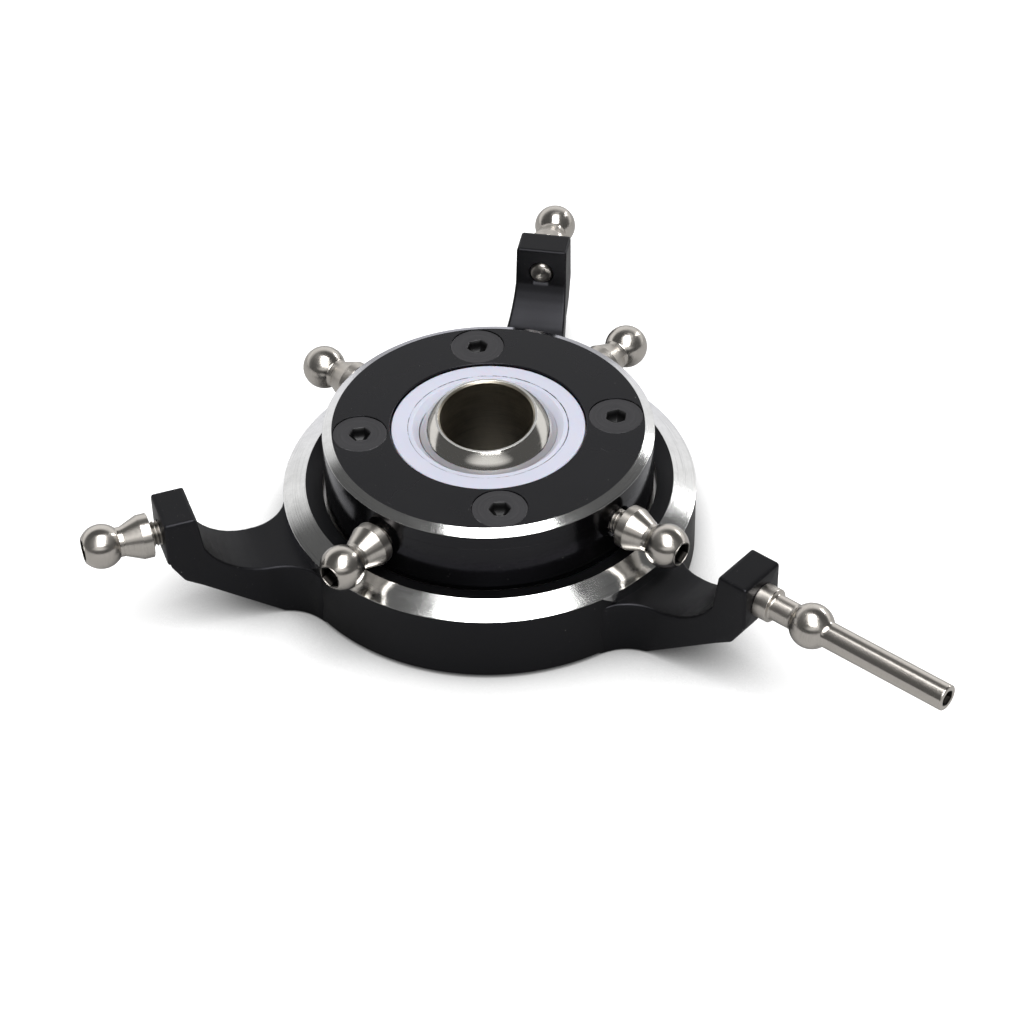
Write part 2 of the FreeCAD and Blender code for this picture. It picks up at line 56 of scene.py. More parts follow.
ARM_ANGLES = (0.0, 120.0, 240.0)
RING_OUTSIDE = 22.4
RING_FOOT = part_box("fixed_ring")[0].z / MM
RING_EDGE = -4.05
CREST_RADIUS = 19.93
CREST_HEIGHT = -2.96
MOUTH_RADIUS = 18.1
MOUTH_HEIGHT = -3.5
RACE_SEAT_RADIUS = 18.5
RACE_SEAT_TOP = -4.6
CIRCLIP_TOP = RACE_SEAT_TOP - 4.0
CIRCLIP_FOOT = CIRCLIP_TOP - 1.05
CIRCLIP_DEPTH = 0.9
ARM_ROOT_TOP = -5.45
RING_STEPS = 660
MOUTH_HIGHLIGHT_BARE = 0.51


def rounded_section(corners, closed=True, arc_steps=4, hold=0.05):
    """Rows (radius, height, edge) of a half section. Each corner (radius, height, rounding) becomes the arc
    that touches both of its sides, whose ends lie rounding / tan(half the corner's angle) from the corner.
    A row just outside each arc keeps the long faces flat. edge is 1 on an arc and 0 elsewhere."""
    rows = []
    count = len(corners)
    for index, (radius, height, rounding) in enumerate(corners):
        here = np.array([radius, height])
        if not rounding or (not closed and index in (0, count - 1)):
            rows.append((radius, height, 0.0))
            continue
        before = np.array(corners[index - 1][:2]) - here
        after = np.array(corners[(index + 1) % count][:2]) - here
        room = 0.49 * min(np.hypot(*before), np.hypot(*after))
        before /= np.hypot(*before)
        after /= np.hypot(*after)
        half = math.acos(np.clip(before @ after, -1, 1)) / 2
        setback = min(rounding / math.tan(half), room * 0.9)
        rounding = setback * math.tan(half)
        across = before + after
        centre = here + across / np.hypot(*across) * rounding / math.sin(half)
        start = here + before * setback - centre
        end = here + after * setback - centre
        sweep = np.arctan2(start[0] * end[1] - start[1] * end[0], start @ end)
        turns = np.linspace(0, sweep, arc_steps + 1)
        arc_r = centre[0] + start[0] * np.cos(turns) - start[1] * np.sin(turns)
        arc_z = centre[1] + start[0] * np.sin(turns) + start[1] * np.cos(turns)
        outer = min(setback + hold, room)
        rows.append((*(here + before * outer), 0.0))
        rows.extend(zip(arc_r, arc_z, np.ones(arc_steps + 1)))
        rows.append((*(here + after * outer), 0.0))
    return np.array(rows, float)


def finer(rows, longest):
    """The same section with its long sides cut into steps no longer than longest."""
    out = [rows[:1]]
    for first, last in zip(rows[:-1], rows[1:]):
        steps = max(1, int(math.ceil(np.hypot(*(last - first)[:2]) / longest)))
        share = np.linspace(0, 1, steps + 1)[1:, None]
        out.append(first + (last - first) * share)
    return np.vstack(out)


def place_object(name, data):
    """An object in the scene that holds this mesh, light or camera."""
    thing = bpy.data.objects.new(name, data)
    bpy.context.scene.collection.objects.link(thing)
    return thing


def skin(name, points, loop_rows=False, masks=None):
    """A mesh over a grid of points in millimetres (rows, columns, xyz): every cell is a four-sided face.
    Columns close into a loop, and rows may. Its UV map has the share of the way round in U and the distance
    along the rows, in millimetres, in V. masks are values for each point, kept as mesh attributes."""
    rows, columns = points.shape[:2]
    number = np.arange(rows * columns).reshape(rows, columns)
    i = np.arange(rows if loop_rows else rows - 1)
    i, j = np.meshgrid(i, np.arange(columns), indexing="ij")
    corner_i = np.stack([i, i, i + 1, i + 1], -1).reshape(-1, 4)
    corner_j = np.stack([j, j + 1, j + 1, j], -1).reshape(-1, 4)
    faces = number[corner_i % rows, corner_j % columns]
    mesh = bpy.data.meshes.new(name)
    mesh.from_pydata(points.reshape(-1, 3) * MM, [], faces)
    steps = np.linalg.norm(np.diff(points, axis=0, append=points[:1]), axis=-1).mean(1)
    along = np.concatenate([[0], np.cumsum(steps)])
    uv = np.stack([corner_j / columns, along[corner_i]], -1)
    mesh.uv_layers.new(name="turned").data.foreach_set("uv", uv.astype(np.float32).ravel())
    for label, values in (masks or {}).items():
        layer = mesh.attributes.new(label, "FLOAT", "POINT")
        layer.data.foreach_set("value", np.broadcast_to(values, (rows, columns)).astype(np.float32).ravel())
    form = bmesh.new()
    form.from_mesh(mesh)
    bmesh.ops.remove_doubles(form, verts=form.verts, dist=2e-8)
    bmesh.ops.recalc_face_normals(form, faces=form.faces)
    form.to_mesh(mesh)
    form.free()
    mesh.shade_smooth()
    return place_object(name, mesh)


def lathe(name, rows, steps=360, closed=True, masks=None, start=0.0):
    """A turned surface about the shaft axis: every row (radius, height) goes once round,
    x = radius cos a, y = radius sin a, z = height."""
    angle = np.radians(start) + np.linspace(0, 2 * np.pi, steps, endpoint=False)
    radius, height = rows[:, :1], rows[:, 1:2]
    points = np.stack([radius * np.cos(angle), radius * np.sin(angle), height + 0 * angle], -1)
    masks = {"edge": rows[:, 2:3], **(masks or {})}
    return skin(name, points, loop_rows=closed, masks=masks)


def fit_piece(piece, body, slot, finish, *nodes):
    """Gives a piece its finish, lets it ride on its body and hides the nodes it stands for; slot is not used.
    """
    piece.data.materials.append(finish)
    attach(piece, body)
    if nodes:
        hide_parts(*nodes)
    return piece


def start_group(name, inputs, outputs):
    """An empty shader group with number inputs, given with their defaults, and its outputs."""
    group = bpy.data.node_groups.new(name, "ShaderNodeTree")
    for label, value in inputs:
        kind = "NodeSocketVector" if value is None else "NodeSocketFloat"
        socket = group.interface.new_socket(name=label, in_out="INPUT", socket_type=kind)
        if value is not None:
            socket.default_value = value
    for label in outputs:
        group.interface.new_socket(name=label, in_out="OUTPUT", socket_type="NodeSocketFloat")
    return group, group.nodes.new("NodeGroupInput"), group.nodes.new("NodeGroupOutput")


def give(tree, socket, value):
    """Gives an input its value, which is a number, a colour or another node's socket."""
    if isinstance(value, bpy.types.NodeSocket):
        tree.links.new(value, socket)
    else:
        socket.default_value = value


def add(tree, kind, settings=None, **links):
    """A node with its settings; each link goes to the input of that name, or of that number as in0, in1."""
    node = tree.nodes.new(kind)
    for key, value in (settings or {}).items():
        setattr(node, key, value)
    for label, value in links.items():
        numbered = label.startswith("in") and label[2:].isdigit()
        give(tree, node.inputs[int(label[2:]) if numbered else label.replace("_", " ")], value)
    return node


def math_node(tree, operation, *values):
    """The result of a Math node on two or three values or sockets."""
    node = tree.nodes.new("ShaderNodeMath")
    node.operation = operation
    for socket, value in zip(node.inputs, values):
        give(tree, socket, value)
    return node.outputs[0]


def product(tree, first, second):
    """One value times another."""
    return math_node(tree, "MULTIPLY", first, second)


def ramp(tree, value, low, high, to_low=0.0, to_high=1.0):
    """A value moved smoothly from one range to another."""
    node = tree.nodes.new("ShaderNodeMapRange")
    node.interpolation_type = "SMOOTHSTEP"
    for label, number in (("From Min", low), ("From Max", high), ("To Min", to_low), ("To Max", to_high)):
        node.inputs[label].default_value = number
    tree.links.new(value, node.inputs["Value"])
    return node.outputs["Result"]


def blend_colour(tree, share, first, second):
    """A colour between two colours, by a share from 0 to 1."""
    node = tree.nodes.new("ShaderNodeMix")
    node.data_type = "RGBA"
    for index, value in ((0, share), (6, first), (7, second)):
        give(tree, node.inputs[index], value)
    return node.outputs[2]


def blend_value(tree, share, first, second):
    """A value between two values, by a share from 0 to 1."""
    return add(tree, "ShaderNodeMix", in0=share, in2=first, in3=second).outputs[0]


def mask(tree, name):
    """A mask kept in the piece's points."""
    return add(tree, "ShaderNodeAttribute", {"attribute_name": name}).outputs["Fac"]


def noise(tree, vector, scale, detail=2.0, roughness=0.5):
    """A noise value at a scale given in turns per metre of the vector."""
    node = add(tree, "ShaderNodeTexNoise", Vector=vector, Scale=scale, Detail=detail, Roughness=roughness)
    return node.outputs["Fac"]


def turning_marks_group():
    """Marks of a lathe tool: a noise that changes fast along the rows and slowly round them."""
    group, given, result = start_group(
        "turning marks", [("UV", None), ("Lines per mm", 9.0), ("Breaks", 3.0)], ["Height", "Streak"])
    part = add(group, "ShaderNodeSeparateXYZ", Vector=given.outputs["UV"])
    lines = product(group, part.outputs["Y"], given.outputs["Lines per mm"])
    angle = product(group, part.outputs["X"], 2 * math.pi)
    around = product(group, math_node(group, "COSINE", angle), given.outputs["Breaks"])
    sideways = product(group, math_node(group, "SINE", angle), given.outputs["Breaks"])
    place = add(group, "ShaderNodeCombineXYZ", X=around, Y=sideways, Z=lines)
    fine = noise(group, place.outputs[0], 1.0, 3.0, 0.6)
    group.links.new(fine, result.inputs["Height"])
    group.links.new(ramp(group, fine, 0.5, 0.78), result.inputs["Streak"])
    return group


def handling_group():
    """What handling leaves: edges worn where a noise is high, thin scratches and specks of dust."""
    group, given, result = start_group(
        "handling", [("Place", None), ("Edge", 0.0), ("Worn", 0.5)], ["Wear", "Scratch", "Dust", "Cloud"])
    patchy = noise(group, given.outputs["Place"], 900.0, 4.0, 0.65)
    chance = math_node(group, "ADD", patchy, math_node(group, "SUBTRACT", given.outputs["Worn"], 1.0))
    worn = product(group, ramp(group, chance, -0.05, 0.25), given.outputs["Edge"])
    stretched = add(group, "ShaderNodeMapping", Vector=given.outputs["Place"], Rotation=(0.3, 0.5, 0.9),
                    Scale=(260.0, 9000.0, 2600.0))
    line = noise(group, stretched.outputs[0], 1.0, 1.0)
    speck = noise(group, given.outputs["Place"], 5200.0, 1.0)
    group.links.new(worn, result.inputs["Wear"])
    group.links.new(ramp(group, line, 0.79, 0.84), result.inputs["Scratch"])
    group.links.new(ramp(group, speck, 0.80, 0.86), result.inputs["Dust"])
    group.links.new(noise(group, given.outputs["Place"], 130.0, 3.0), result.inputs["Cloud"])
    return group


TURNING_MARKS = turning_marks_group()
HANDLING = handling_group()
BARE_METAL = (0.80, 0.80, 0.79, 1.0)
DULL_METAL = (0.66, 0.66, 0.65, 1.0)
CUT_METAL = (0.45, 0.45, 0.45, 1.0)
WORN_METAL = (0.22, 0.22, 0.225, 1.0)
DUST = (0.30, 0.29, 0.27, 1.0)
POLISHED = 0.13


def start_finish(name, metallic, worn, lines=None, breaks=None, **constants):
    """A material with a Principled shader: its nodes, the place they start from, what handling has left on it
    and, where a lathe tool has cut it, the marks of the tool."""
    finish = bpy.data.materials.new(name)
    finish.use_nodes = True
    tree = finish.node_tree
    tree.nodes.clear()
    shader = add(tree, "ShaderNodeBsdfPrincipled", Metallic=metallic, **constants)
    add(tree, "ShaderNodeOutputMaterial", Surface=shader.outputs[0])
    where = tree.nodes.new("ShaderNodeTexCoord").outputs
    handled = use_group(tree, HANDLING, Place=where["Object"], Edge=mask(tree, "edge"), Worn=worn)
    cut = None
    if lines:
        cut = use_group(tree, TURNING_MARKS, UV=where["UV"], Lines_per_mm=lines, Breaks=breaks)
    return finish, tree, shader, where["Object"], handled, cut


def use_group(tree, group, **links):
    """One use of a shared group."""
    node = tree.nodes.new("ShaderNodeGroup")
    node.node_tree = group
    for label, value in links.items():
        give(tree, node.inputs[label.replace("_", " ")], value)
    return node.outputs


def dress(tree, shader, colour, rough, height, strength, distance):
    """Sends a colour and a roughness to the shader, and a height to its normal."""
    give(tree, shader.inputs["Base Color"], colour)
    give(tree, shader.inputs["Roughness"], rough)
    uneven = add(tree, "ShaderNodeBump", Height=height, Strength=strength, Distance=distance)
    give(tree, shader.inputs["Normal"], uneven.outputs[0])


def dimmed(colour, share):
    """A darker shade of a colour."""
    return tuple(channel * share for channel in colour[:3]) + (1,)


def black_anodised(name, roughness, tone, level):
    """Black anodised aluminium: near black with a faint cloud, satin, thin at its edges. Where the bare mask
    is over a half the skin is cut away and the metal shows, bright, with the marks of the tool in it."""
    finish, tree, shader, place, handled, cut = start_finish(
        name, 0.0, 0.36, 7.0, 2.0, Specular_IOR_Level=level, Specular_Tint=(0.90, 0.90, 1.0, 1.0))
    bare = ramp(tree, mask(tree, "bare"), 0.47, 0.53)
    patch = noise(tree, place, 260.0, 8.0, 0.72)
    grain = noise(tree, place, 16000.0, 2.0)
    thin = (tone * 0.7, tone * 0.7, tone * 0.75, 1)
    colour = blend_colour(tree, handled["Cloud"], thin, (tone, tone, tone * 1.1, 1))
    colour = blend_colour(tree, handled["Dust"], colour, DUST)
    colour = blend_colour(tree, product(tree, handled["Scratch"], 0.25), colour, WORN_METAL)
    colour = blend_colour(tree, handled["Wear"], colour, WORN_METAL)
    metal = blend_colour(tree, ramp(tree, patch, 0.3, 0.75), BARE_METAL, DULL_METAL)
    metal = blend_colour(tree, product(tree, cut["Streak"], 0.5), metal, CUT_METAL)
    showing = math_node(tree, "MAXIMUM", bare, product(tree, handled["Wear"], 0.8))
    give(tree, shader.inputs["Metallic"], showing)
    satin = ramp(tree, handled["Cloud"], 0.3, 0.7, roughness - 0.04, roughness + 0.05)
    skin_rough = blend_value(tree, mask(tree, "polish"), satin, POLISHED)
    metal_rough = ramp(tree, patch, 0.3, 0.7, 0.09, 0.17)
    height = math_node(tree, "ADD", product(tree, grain, 0.25), product(tree, cut["Height"], bare))
    dress(tree, shader, blend_colour(tree, bare, colour, metal),
          blend_value(tree, bare, skin_rough, metal_rough), height, 0.35, 0.00002)
    return finish


RING_BLACK = black_anodised("fixed ring black", 0.38, 0.003, 0.26)

ring_corners = [
    (MOUTH_RADIUS, RACE_SEAT_TOP, 0.0),
    (MOUTH_RADIUS, MOUTH_HEIGHT, 0.08),
    (CREST_RADIUS, CREST_HEIGHT, 0.05),
    (RING_OUTSIDE, RING_EDGE, 0.05),
    (RING_OUTSIDE, RING_FOOT + 0.5, 0.12),
    (RING_OUTSIDE - 0.5, RING_FOOT, 0.12),
    (RACE_SEAT_RADIUS + 0.6, RING_FOOT, 0.1),
    (RACE_SEAT_RADIUS, RING_FOOT + 0.6, 0.1),
    (RACE_SEAT_RADIUS, CIRCLIP_FOOT, 0.0),
    (RACE_SEAT_RADIUS + CIRCLIP_DEPTH, CIRCLIP_FOOT, 0.0),
    (RACE_SEAT_RADIUS + CIRCLIP_DEPTH, CIRCLIP_TOP, 0.0),
    (RACE_SEAT_RADIUS, CIRCLIP_TOP, 0.0),
    (RACE_SEAT_RADIUS, RACE_SEAT_TOP, 0.0),
]
ring_rows = finer(rounded_section(ring_corners), 0.25)
ring_turn = np.linspace(0, 360, RING_STEPS, endpoint=False)
from_arm = np.abs((ring_turn + 60) % 120 - 60)
bare_floor = ARM_ROOT_TOP + np.clip((from_arm - 13) / 5, 0, 1) * (RING_EDGE - ARM_ROOT_TOP)
on_chamfer = (ring_rows[:, 0] > CREST_RADIUS) & (ring_rows[:, 1] > RING_EDGE - 0.02)
on_wall = (ring_rows[:, 0] > RING_OUTSIDE - 0.1) & ~on_chamfer
wall_bare = np.clip(0.5 + (ring_rows[:, 1:2] - bare_floor) / 0.5, 0, 1) * on_wall[:, None] * (from_arm < 18)
# Painted highlight: the mouth's rounded edge is made part bare metal, which stands in for the thin bright line
# along it.
at_mouth = (np.abs(ring_rows[:, 0] - MOUTH_RADIUS) < 0.03) & (np.abs(ring_rows[:, 1] - MOUTH_HEIGHT) < 0.05)
ring_bare = np.where(on_chamfer[:, None], 1.0, np.where(at_mouth[:, None], MOUTH_HIGHLIGHT_BARE, wall_bare))
fixed_ring_turned = lathe("fixed_ring_turned", ring_rows, RING_STEPS, masks={"bare": ring_bare})
fit_piece(fixed_ring_turned, "fixed_star", "black_anodised_ring", RING_BLACK, "fixed_ring")

# ----------------------------------------------------------------------
# Three arms, milled in one with the fixed ring and anodised with it. Each rises from a flat root in a long
# curve to an upright block, tapped through for a ball stud, and flares into the ring's wall.
# ----------------------------------------------------------------------
BLOCK_INSIDE = 33.05
BLOCK_OUTSIDE = 36.6
BLOCK_TOP = 3.0
BLOCK_HALF_WIDTH = 2.9
ROOT_HALF_WIDTH = 3.6
ROOT_FLARE = 5.0
ARM_ROUNDING = 0.28
TAPPED_HOLE = 1.38
HOLE_MOUTH = 1.47
ROOT_START = RING_OUTSIDE - 3.0
CURVE_START = 25.6
CURVE_END = 32.55
CURVE_TOP = -1.2
CURVE_TURN = 1.12
BELLY_FOOT = -11.9
BELLY_END = -2.4
RIM_REACH = 0.045
HOLE_SUNK = 1.3


def arm_half_width(along):
    """Half width of an arm at a distance from the shaft: a straight taper out to the block, and near the ring
    a quarter-round flare that meets the wall along its own line."""
    flare_v = ROOT_HALF_WIDTH + ROOT_FLARE
    flare_u = math.sqrt((RING_OUTSIDE + ROOT_FLARE) ** 2 - flare_v ** 2)
    reach = np.clip((flare_u - along) / ROOT_FLARE, 0, flare_u / (RING_OUTSIDE + ROOT_FLARE))
    flared = flare_v - ROOT_FLARE * np.sqrt(1 - reach ** 2)
    share = np.clip((along - flare_u) / (BLOCK_INSIDE - flare_u), 0, 1)
    taper = ROOT_HALF_WIDTH + (BLOCK_HALF_WIDTH - ROOT_HALF_WIDTH) * share
    return np.where(along < flare_u, flared, taper)


def along_line(points, shares, at):
    """Points of a bent line at given shares of it, straight between the points it is given with."""
    points = np.array(points, float)
    return np.stack([np.interp(at, shares, points[:, 0]), np.interp(at, shares, points[:, 1])], -1)


def milled_arm():
    """An arm as a tube of rounded oblongs: row s joins a point of the belly line to a point of the top line,
    and the oblong's sides stand half a width off the middle plane. The last rows close the outer face onto
    the tapped hole. On the inner face the points nearest the hole's circle are pulled onto it and those
    inside it are pushed in."""
    rise = np.linspace(0, 1, 9)
    bend = rise * CURVE_TURN
    curve_u = CURVE_START + (CURVE_END - CURVE_START) * np.sin(bend) / np.sin(CURVE_TURN)
    curve_z = ARM_ROOT_TOP + (CURVE_TOP - ARM_ROOT_TOP) * (1 - np.cos(bend)) / (1 - np.cos(CURVE_TURN))
    top = [(ROOT_START, ARM_ROOT_TOP)] + list(zip(curve_u, curve_z)) + [
        (BLOCK_INSIDE, BLOCK_TOP - 0.22), (BLOCK_INSIDE + 0.07, BLOCK_TOP - 0.07),
        (BLOCK_INSIDE + 0.22, BLOCK_TOP), (BLOCK_OUTSIDE - ARM_ROUNDING, BLOCK_TOP)]
    top_share = np.concatenate([[0], 0.15 + 0.33 * rise, [0.86, 0.865, 0.87, 1.0]])
    belly = [(ROOT_START, BELLY_FOOT), (24.6, BELLY_FOOT), (24.8, BELLY_FOOT + 0.06), (32.9, -6.38),
             (34.85, -5.07), (35.03, -4.87), (36.2, -2.88), (BLOCK_OUTSIDE - ARM_ROUNDING, BELLY_END)]
    belly_share = [0, 0.14, 0.16, 0.5, 0.8, 0.82, 0.97, 1.0]
    steps = ((0, 0.48, 40), (0.48, 0.86, 84), (0.86, 0.87, 5))
    at = np.concatenate([np.linspace(*step, endpoint=False) for step in steps] + [np.linspace(0.87, 1, 14)])
    tops = along_line(top, top_share, at)
    bellies = along_line(belly, belly_share, at)

    corner = np.linspace(0, math.pi / 2, 4)
    side = np.linspace(-1, 1, 84)
    flat_in = ARM_ROUNDING * (1 - np.cos(corner))
    flat_up = ARM_ROUNDING * (1 - np.sin(corner))
    up = np.linspace(0, 1, 12)
    # stretches of the oblong: across the top, down one side, back along the belly and up the other side, each
    # with the corner after it, as height, drop, width, inset, and 1 where it is a corner and where it is flat
    stretches = [(1, 0, side, 0, 0, 1), (1, flat_up[::-1], 1, flat_in[::-1], 1, 0),
                 (up[::-1], 0, 1, 0, 0, 0), (0, -flat_up, 1, flat_in, 1, 0),
                 (0, 0, -side, 0, 0, 1), (0, -flat_up[::-1], -1, flat_in[::-1], 1, 0),
                 (up, 0, -1, 0, 0, 0), (1, flat_up, -1, flat_in, 1, 0)]
    height, drop, width, inset, on_corner, on_flat = np.concatenate(
        [np.stack(np.broadcast_arrays(*stretch)) for stretch in stretches], axis=1).astype(float)
    on_side = 1 - on_corner - on_flat
    length = np.linalg.norm(tops - bellies, axis=1)[:, None]
    squeeze = 1 - 2 * ARM_ROUNDING / length
    share = np.where(on_side > 0, 0.5 + (height - 0.5) * squeeze, height - drop / length)
    middle = bellies[:, None] + (tops - bellies)[:, None] * share[..., None]
    half = arm_half_width(middle[..., 0])
    across = np.where(on_flat > 0, width * (half - ARM_ROUNDING), np.sign(width) * (half - inset))
    # the hole through the block, seen on its inner face
    from_hole = np.hypot(across, middle[..., 1])
    inner_face = (np.abs(at - 0.67) < 0.19)[:, None] & (on_flat > 0) & (height > 0.5)
    on_rim = (np.abs(from_hole - HOLE_MOUTH) < RIM_REACH) & inner_face
    pull = np.where(on_rim, HOLE_MOUTH / np.maximum(from_hole, 0.1), 1.0)
    across = across * pull
    middle[..., 1] *= pull
    middle[..., 0] += HOLE_SUNK * ((from_hole < HOLE_MOUTH - RIM_REACH) & inner_face)
    points = np.stack([middle[..., 0], across, middle[..., 1]], -1)
    edges = np.broadcast_to(on_corner, points.shape[:2]).copy()

    # outer face: the last oblong shrinks round its rounding, then draws in to the hole
    last = points[-1]
    centre = np.array([BLOCK_OUTSIDE, 0, (last[:, 2].max() + last[:, 2].min()) / 2])
    spread = last - centre
    reach = np.abs(spread[:, 1:]).max(0)
    caps, cap_edges = [], []
    for turn in np.linspace(0, math.pi / 2, 4)[1:]:
        shrink = (reach - ARM_ROUNDING * (1 - math.cos(turn))) / reach
        ring = centre + np.concatenate([spread[:, :1] * 0, spread[:, 1:] * shrink], 1)
        ring[:, 0] = BLOCK_OUTSIDE - ARM_ROUNDING * (1 - math.sin(turn))
        caps.append(ring)
        cap_edges.append(1.0)
    direction = caps[-1] - np.array([BLOCK_OUTSIDE, 0, 0])
    direction[:, 0] = 0
    direction /= np.linalg.norm(direction, axis=1)[:, None]
    for radius, depth in ((TAPPED_HOLE + 0.2, 0.0), (TAPPED_HOLE + 0.12, 0.0), (TAPPED_HOLE, 0.12),
                          (TAPPED_HOLE, 1.0), (TAPPED_HOLE, 1.8), (0.0, 1.8)):
        caps.append(np.array([BLOCK_OUTSIDE - depth, 0, 0]) + direction * radius)
        cap_edges.append(0.0)
    start = np.broadcast_to(points[0].mean(0), points[0].shape)
    points = np.concatenate([start[None], points, np.array(caps)])
    edges = np.concatenate([edges[:1] * 0, edges, np.array(cap_edges)[:, None] * np.ones(len(last))])
    return points, edges


def turned_by(points, degrees):
    """Points turned about the shaft axis."""
    c, s = math.cos(math.radians(degrees)), math.sin(math.radians(degrees))
    return np.stack([points[..., 0] * c - points[..., 1] * s, points[..., 0] * s + points[..., 1] * c,
                     points[..., 2]], -1)


arm_points, arm_edges = milled_arm()
for label, angle in zip(("guide", "back", "left"), ARM_ANGLES):
    arm = skin("arm_" + label, turned_by(arm_points, angle), masks={"edge": arm_edges, "bare": 0.0})
    fit_piece(arm, "fixed_star", "black_anodised_ring", RING_BLACK, "fixed_ring")

# ----------------------------------------------------------------------
# Ball studs: stainless steel, turned in one piece. A link ball with a hexagon socket, a waist, a conical
# shoulder with a flange, and a short thread that screws into an arm's block or into the spinning star. They
# are screwed in by hand to slightly different depths, so more thread shows at one than at another.
# ----------------------------------------------------------------------
LINK_BALL = 2.375
BALL_FLAT = 1.95
THREAD = 1.35
THREAD_PITCH = 0.4
STUD_TIP = 9.75
STUD_KEY = 2.15
NECK = 1.6
FLANGE = 2.38
STUD_SEAT = -5.2
STUD_KEY_DEPTH = 1.5
BACK_STUD_IN = 0.4
STAR_STUDS_OUT = (0.15, 0.0, 0.0, -0.4)
THREAD_ROWS = 150
BALL_ROWS = 40
PIN = 1.4
ARM_BALL_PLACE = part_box("guide_pin_stud")[1].x / MM - 16.4
STAR_BALL_PLACE = 23.95
STAR_TURN = 0.6


def hexagon(angle, across_flats):
    """Distance from the middle to the side of a hexagon in each direction."""
    return across_flats / 2 / np.cos((angle + math.pi / 6) % (math.pi / 3) - math.pi / 6)


def stud_surface(rows, key, key_face, key_depth, thread_from, steps=180):
    """A turned piece about +X with a hexagon socket in its end and a thread on its shank. The radius is the
    row's own; in the thread a blunt wave, which goes once round for each pitch, is taken off it; in the
    socket it is the distance to the hexagon's side."""
    angle = np.linspace(0, 2 * np.pi, steps, endpoint=False)
    radius = np.repeat(rows[:, :1], steps, 1)
    wave = np.abs(((rows[:, 1:2] / THREAD_PITCH - angle / (2 * np.pi)) % 1) * 2 - 1)
    groove = np.clip(wave * 1.5 - 0.25, 0, 1) * 0.2
    fade_in = np.clip((thread_from - rows[:, 1:2]) / 0.12, 0, 1)
    fade_out = np.clip((rows[:, 1:2] + STUD_TIP - 0.4) / 0.4, 0, 1)
    groove = groove * fade_in * fade_out * (rows[:, 1:2] < thread_from)
    radius = radius - groove
    socket = np.array([(0.0, key_depth + 0.35), (1.0, key_depth), (1.0, key_depth * 0.5), (1.0, 0.04)])
    hexes = socket[:, :1] * hexagon(angle, key)
    round_mouth = np.full((1, steps), key / math.sqrt(3) + 0.06)
    radius = np.concatenate([hexes, round_mouth, radius])
    height = np.concatenate([key_face - socket[:, 1], [key_face]])
    height = np.concatenate([np.repeat(height[:, None], steps, 1), np.repeat(rows[:, 1:2], steps, 1)])
    points = np.stack([height, radius * np.cos(angle), radius * np.sin(angle)], -1)
    # painted shade: 1 on the socket's walls and rising in the bottoms of the thread grooves, where the finish
    # is made near black
    dark = np.concatenate([np.repeat([[1.0]] * 4 + [[0.0]], steps, 1), groove * 3.2])
    edges = np.concatenate([np.zeros(5), rows[:, 2]])[:, None] * np.ones(steps)
    on_pin = (rows[:, 1] > 0) & (np.abs(rows[:, 0] - PIN) < 0.02)
    ground = (np.abs(np.hypot(rows[:, 0], rows[:, 1]) - LINK_BALL) < 0.03) | on_pin
    ground = np.concatenate([np.zeros(5), ground * 1.0])[:, None] * np.ones(steps)
    return points, {"edge": edges, "socket": dark, "ground": ground}


def arc_rows(radius, first, last, count):
    """Rows along a sphere centred on the axis, from one height along the axis to another."""
    turn = np.linspace(math.acos(first / radius), math.acos(last / radius), count)
    return np.stack([radius * np.sin(turn), radius * np.cos(turn), 0 * turn], -1)


def thread_rows(start, count):
    """Rows along a thread, from its start to the bevel at the stud's tip."""
    return np.stack([np.full(count, THREAD), np.linspace(start, 0.4 - STUD_TIP, count), np.zeros(count)], -1)


def stud_steel(name, tint, rough, lines):
    """Satin stainless steel with fine turning marks, smoother where the ball is ground; the socket and the
    bottom of the thread are painted near black as their shade, and the rims are a little polished."""
    finish, tree, shader, place, handled, cut = start_finish(
        name, 1.0, 0.6, lines, 1.2, Anisotropic=0.75, Anisotropic_Rotation=0.25)
    tone = blend_colour(tree, handled["Cloud"], tint, dimmed(tint, 0.86))
    tone = blend_colour(tree, product(tree, cut["Streak"], 0.4), tone, dimmed(tint, 0.55))
    # painted shade: the socket and the thread grooves are coloured near black
    socket_shade = ramp(tree, mask(tree, "socket"), 0.0, 1.0, 0.0, 0.995)
    tone = blend_colour(tree, socket_shade, tone, (0.005, 0.0045, 0.004, 1))
    along = add(tree, "ShaderNodeTangent", {"direction_type": "UV_MAP", "uv_map": "turned"})
    give(tree, shader.inputs["Tangent"], along.outputs[0])
    satin = ramp(tree, cut["Height"], 0.3, 0.7, rough - 0.02, rough + 0.03)
    smooth = ramp(tree, cut["Height"], 0.3, 0.7, rough - 0.09, rough - 0.05)
    ground = mask(tree, "ground")
    rough_mix = blend_value(tree, ground, satin, smooth)
    rough_mix = math_node(tree, "SUBTRACT", rough_mix, product(tree, handled["Wear"], 0.05))
    left = math_node(tree, "SUBTRACT", 1.0, product(tree, ground, 0.8))
    dress(tree, shader, tone, rough_mix, product(tree, cut["Height"], left), 0.12, 0.000002)
    return finish


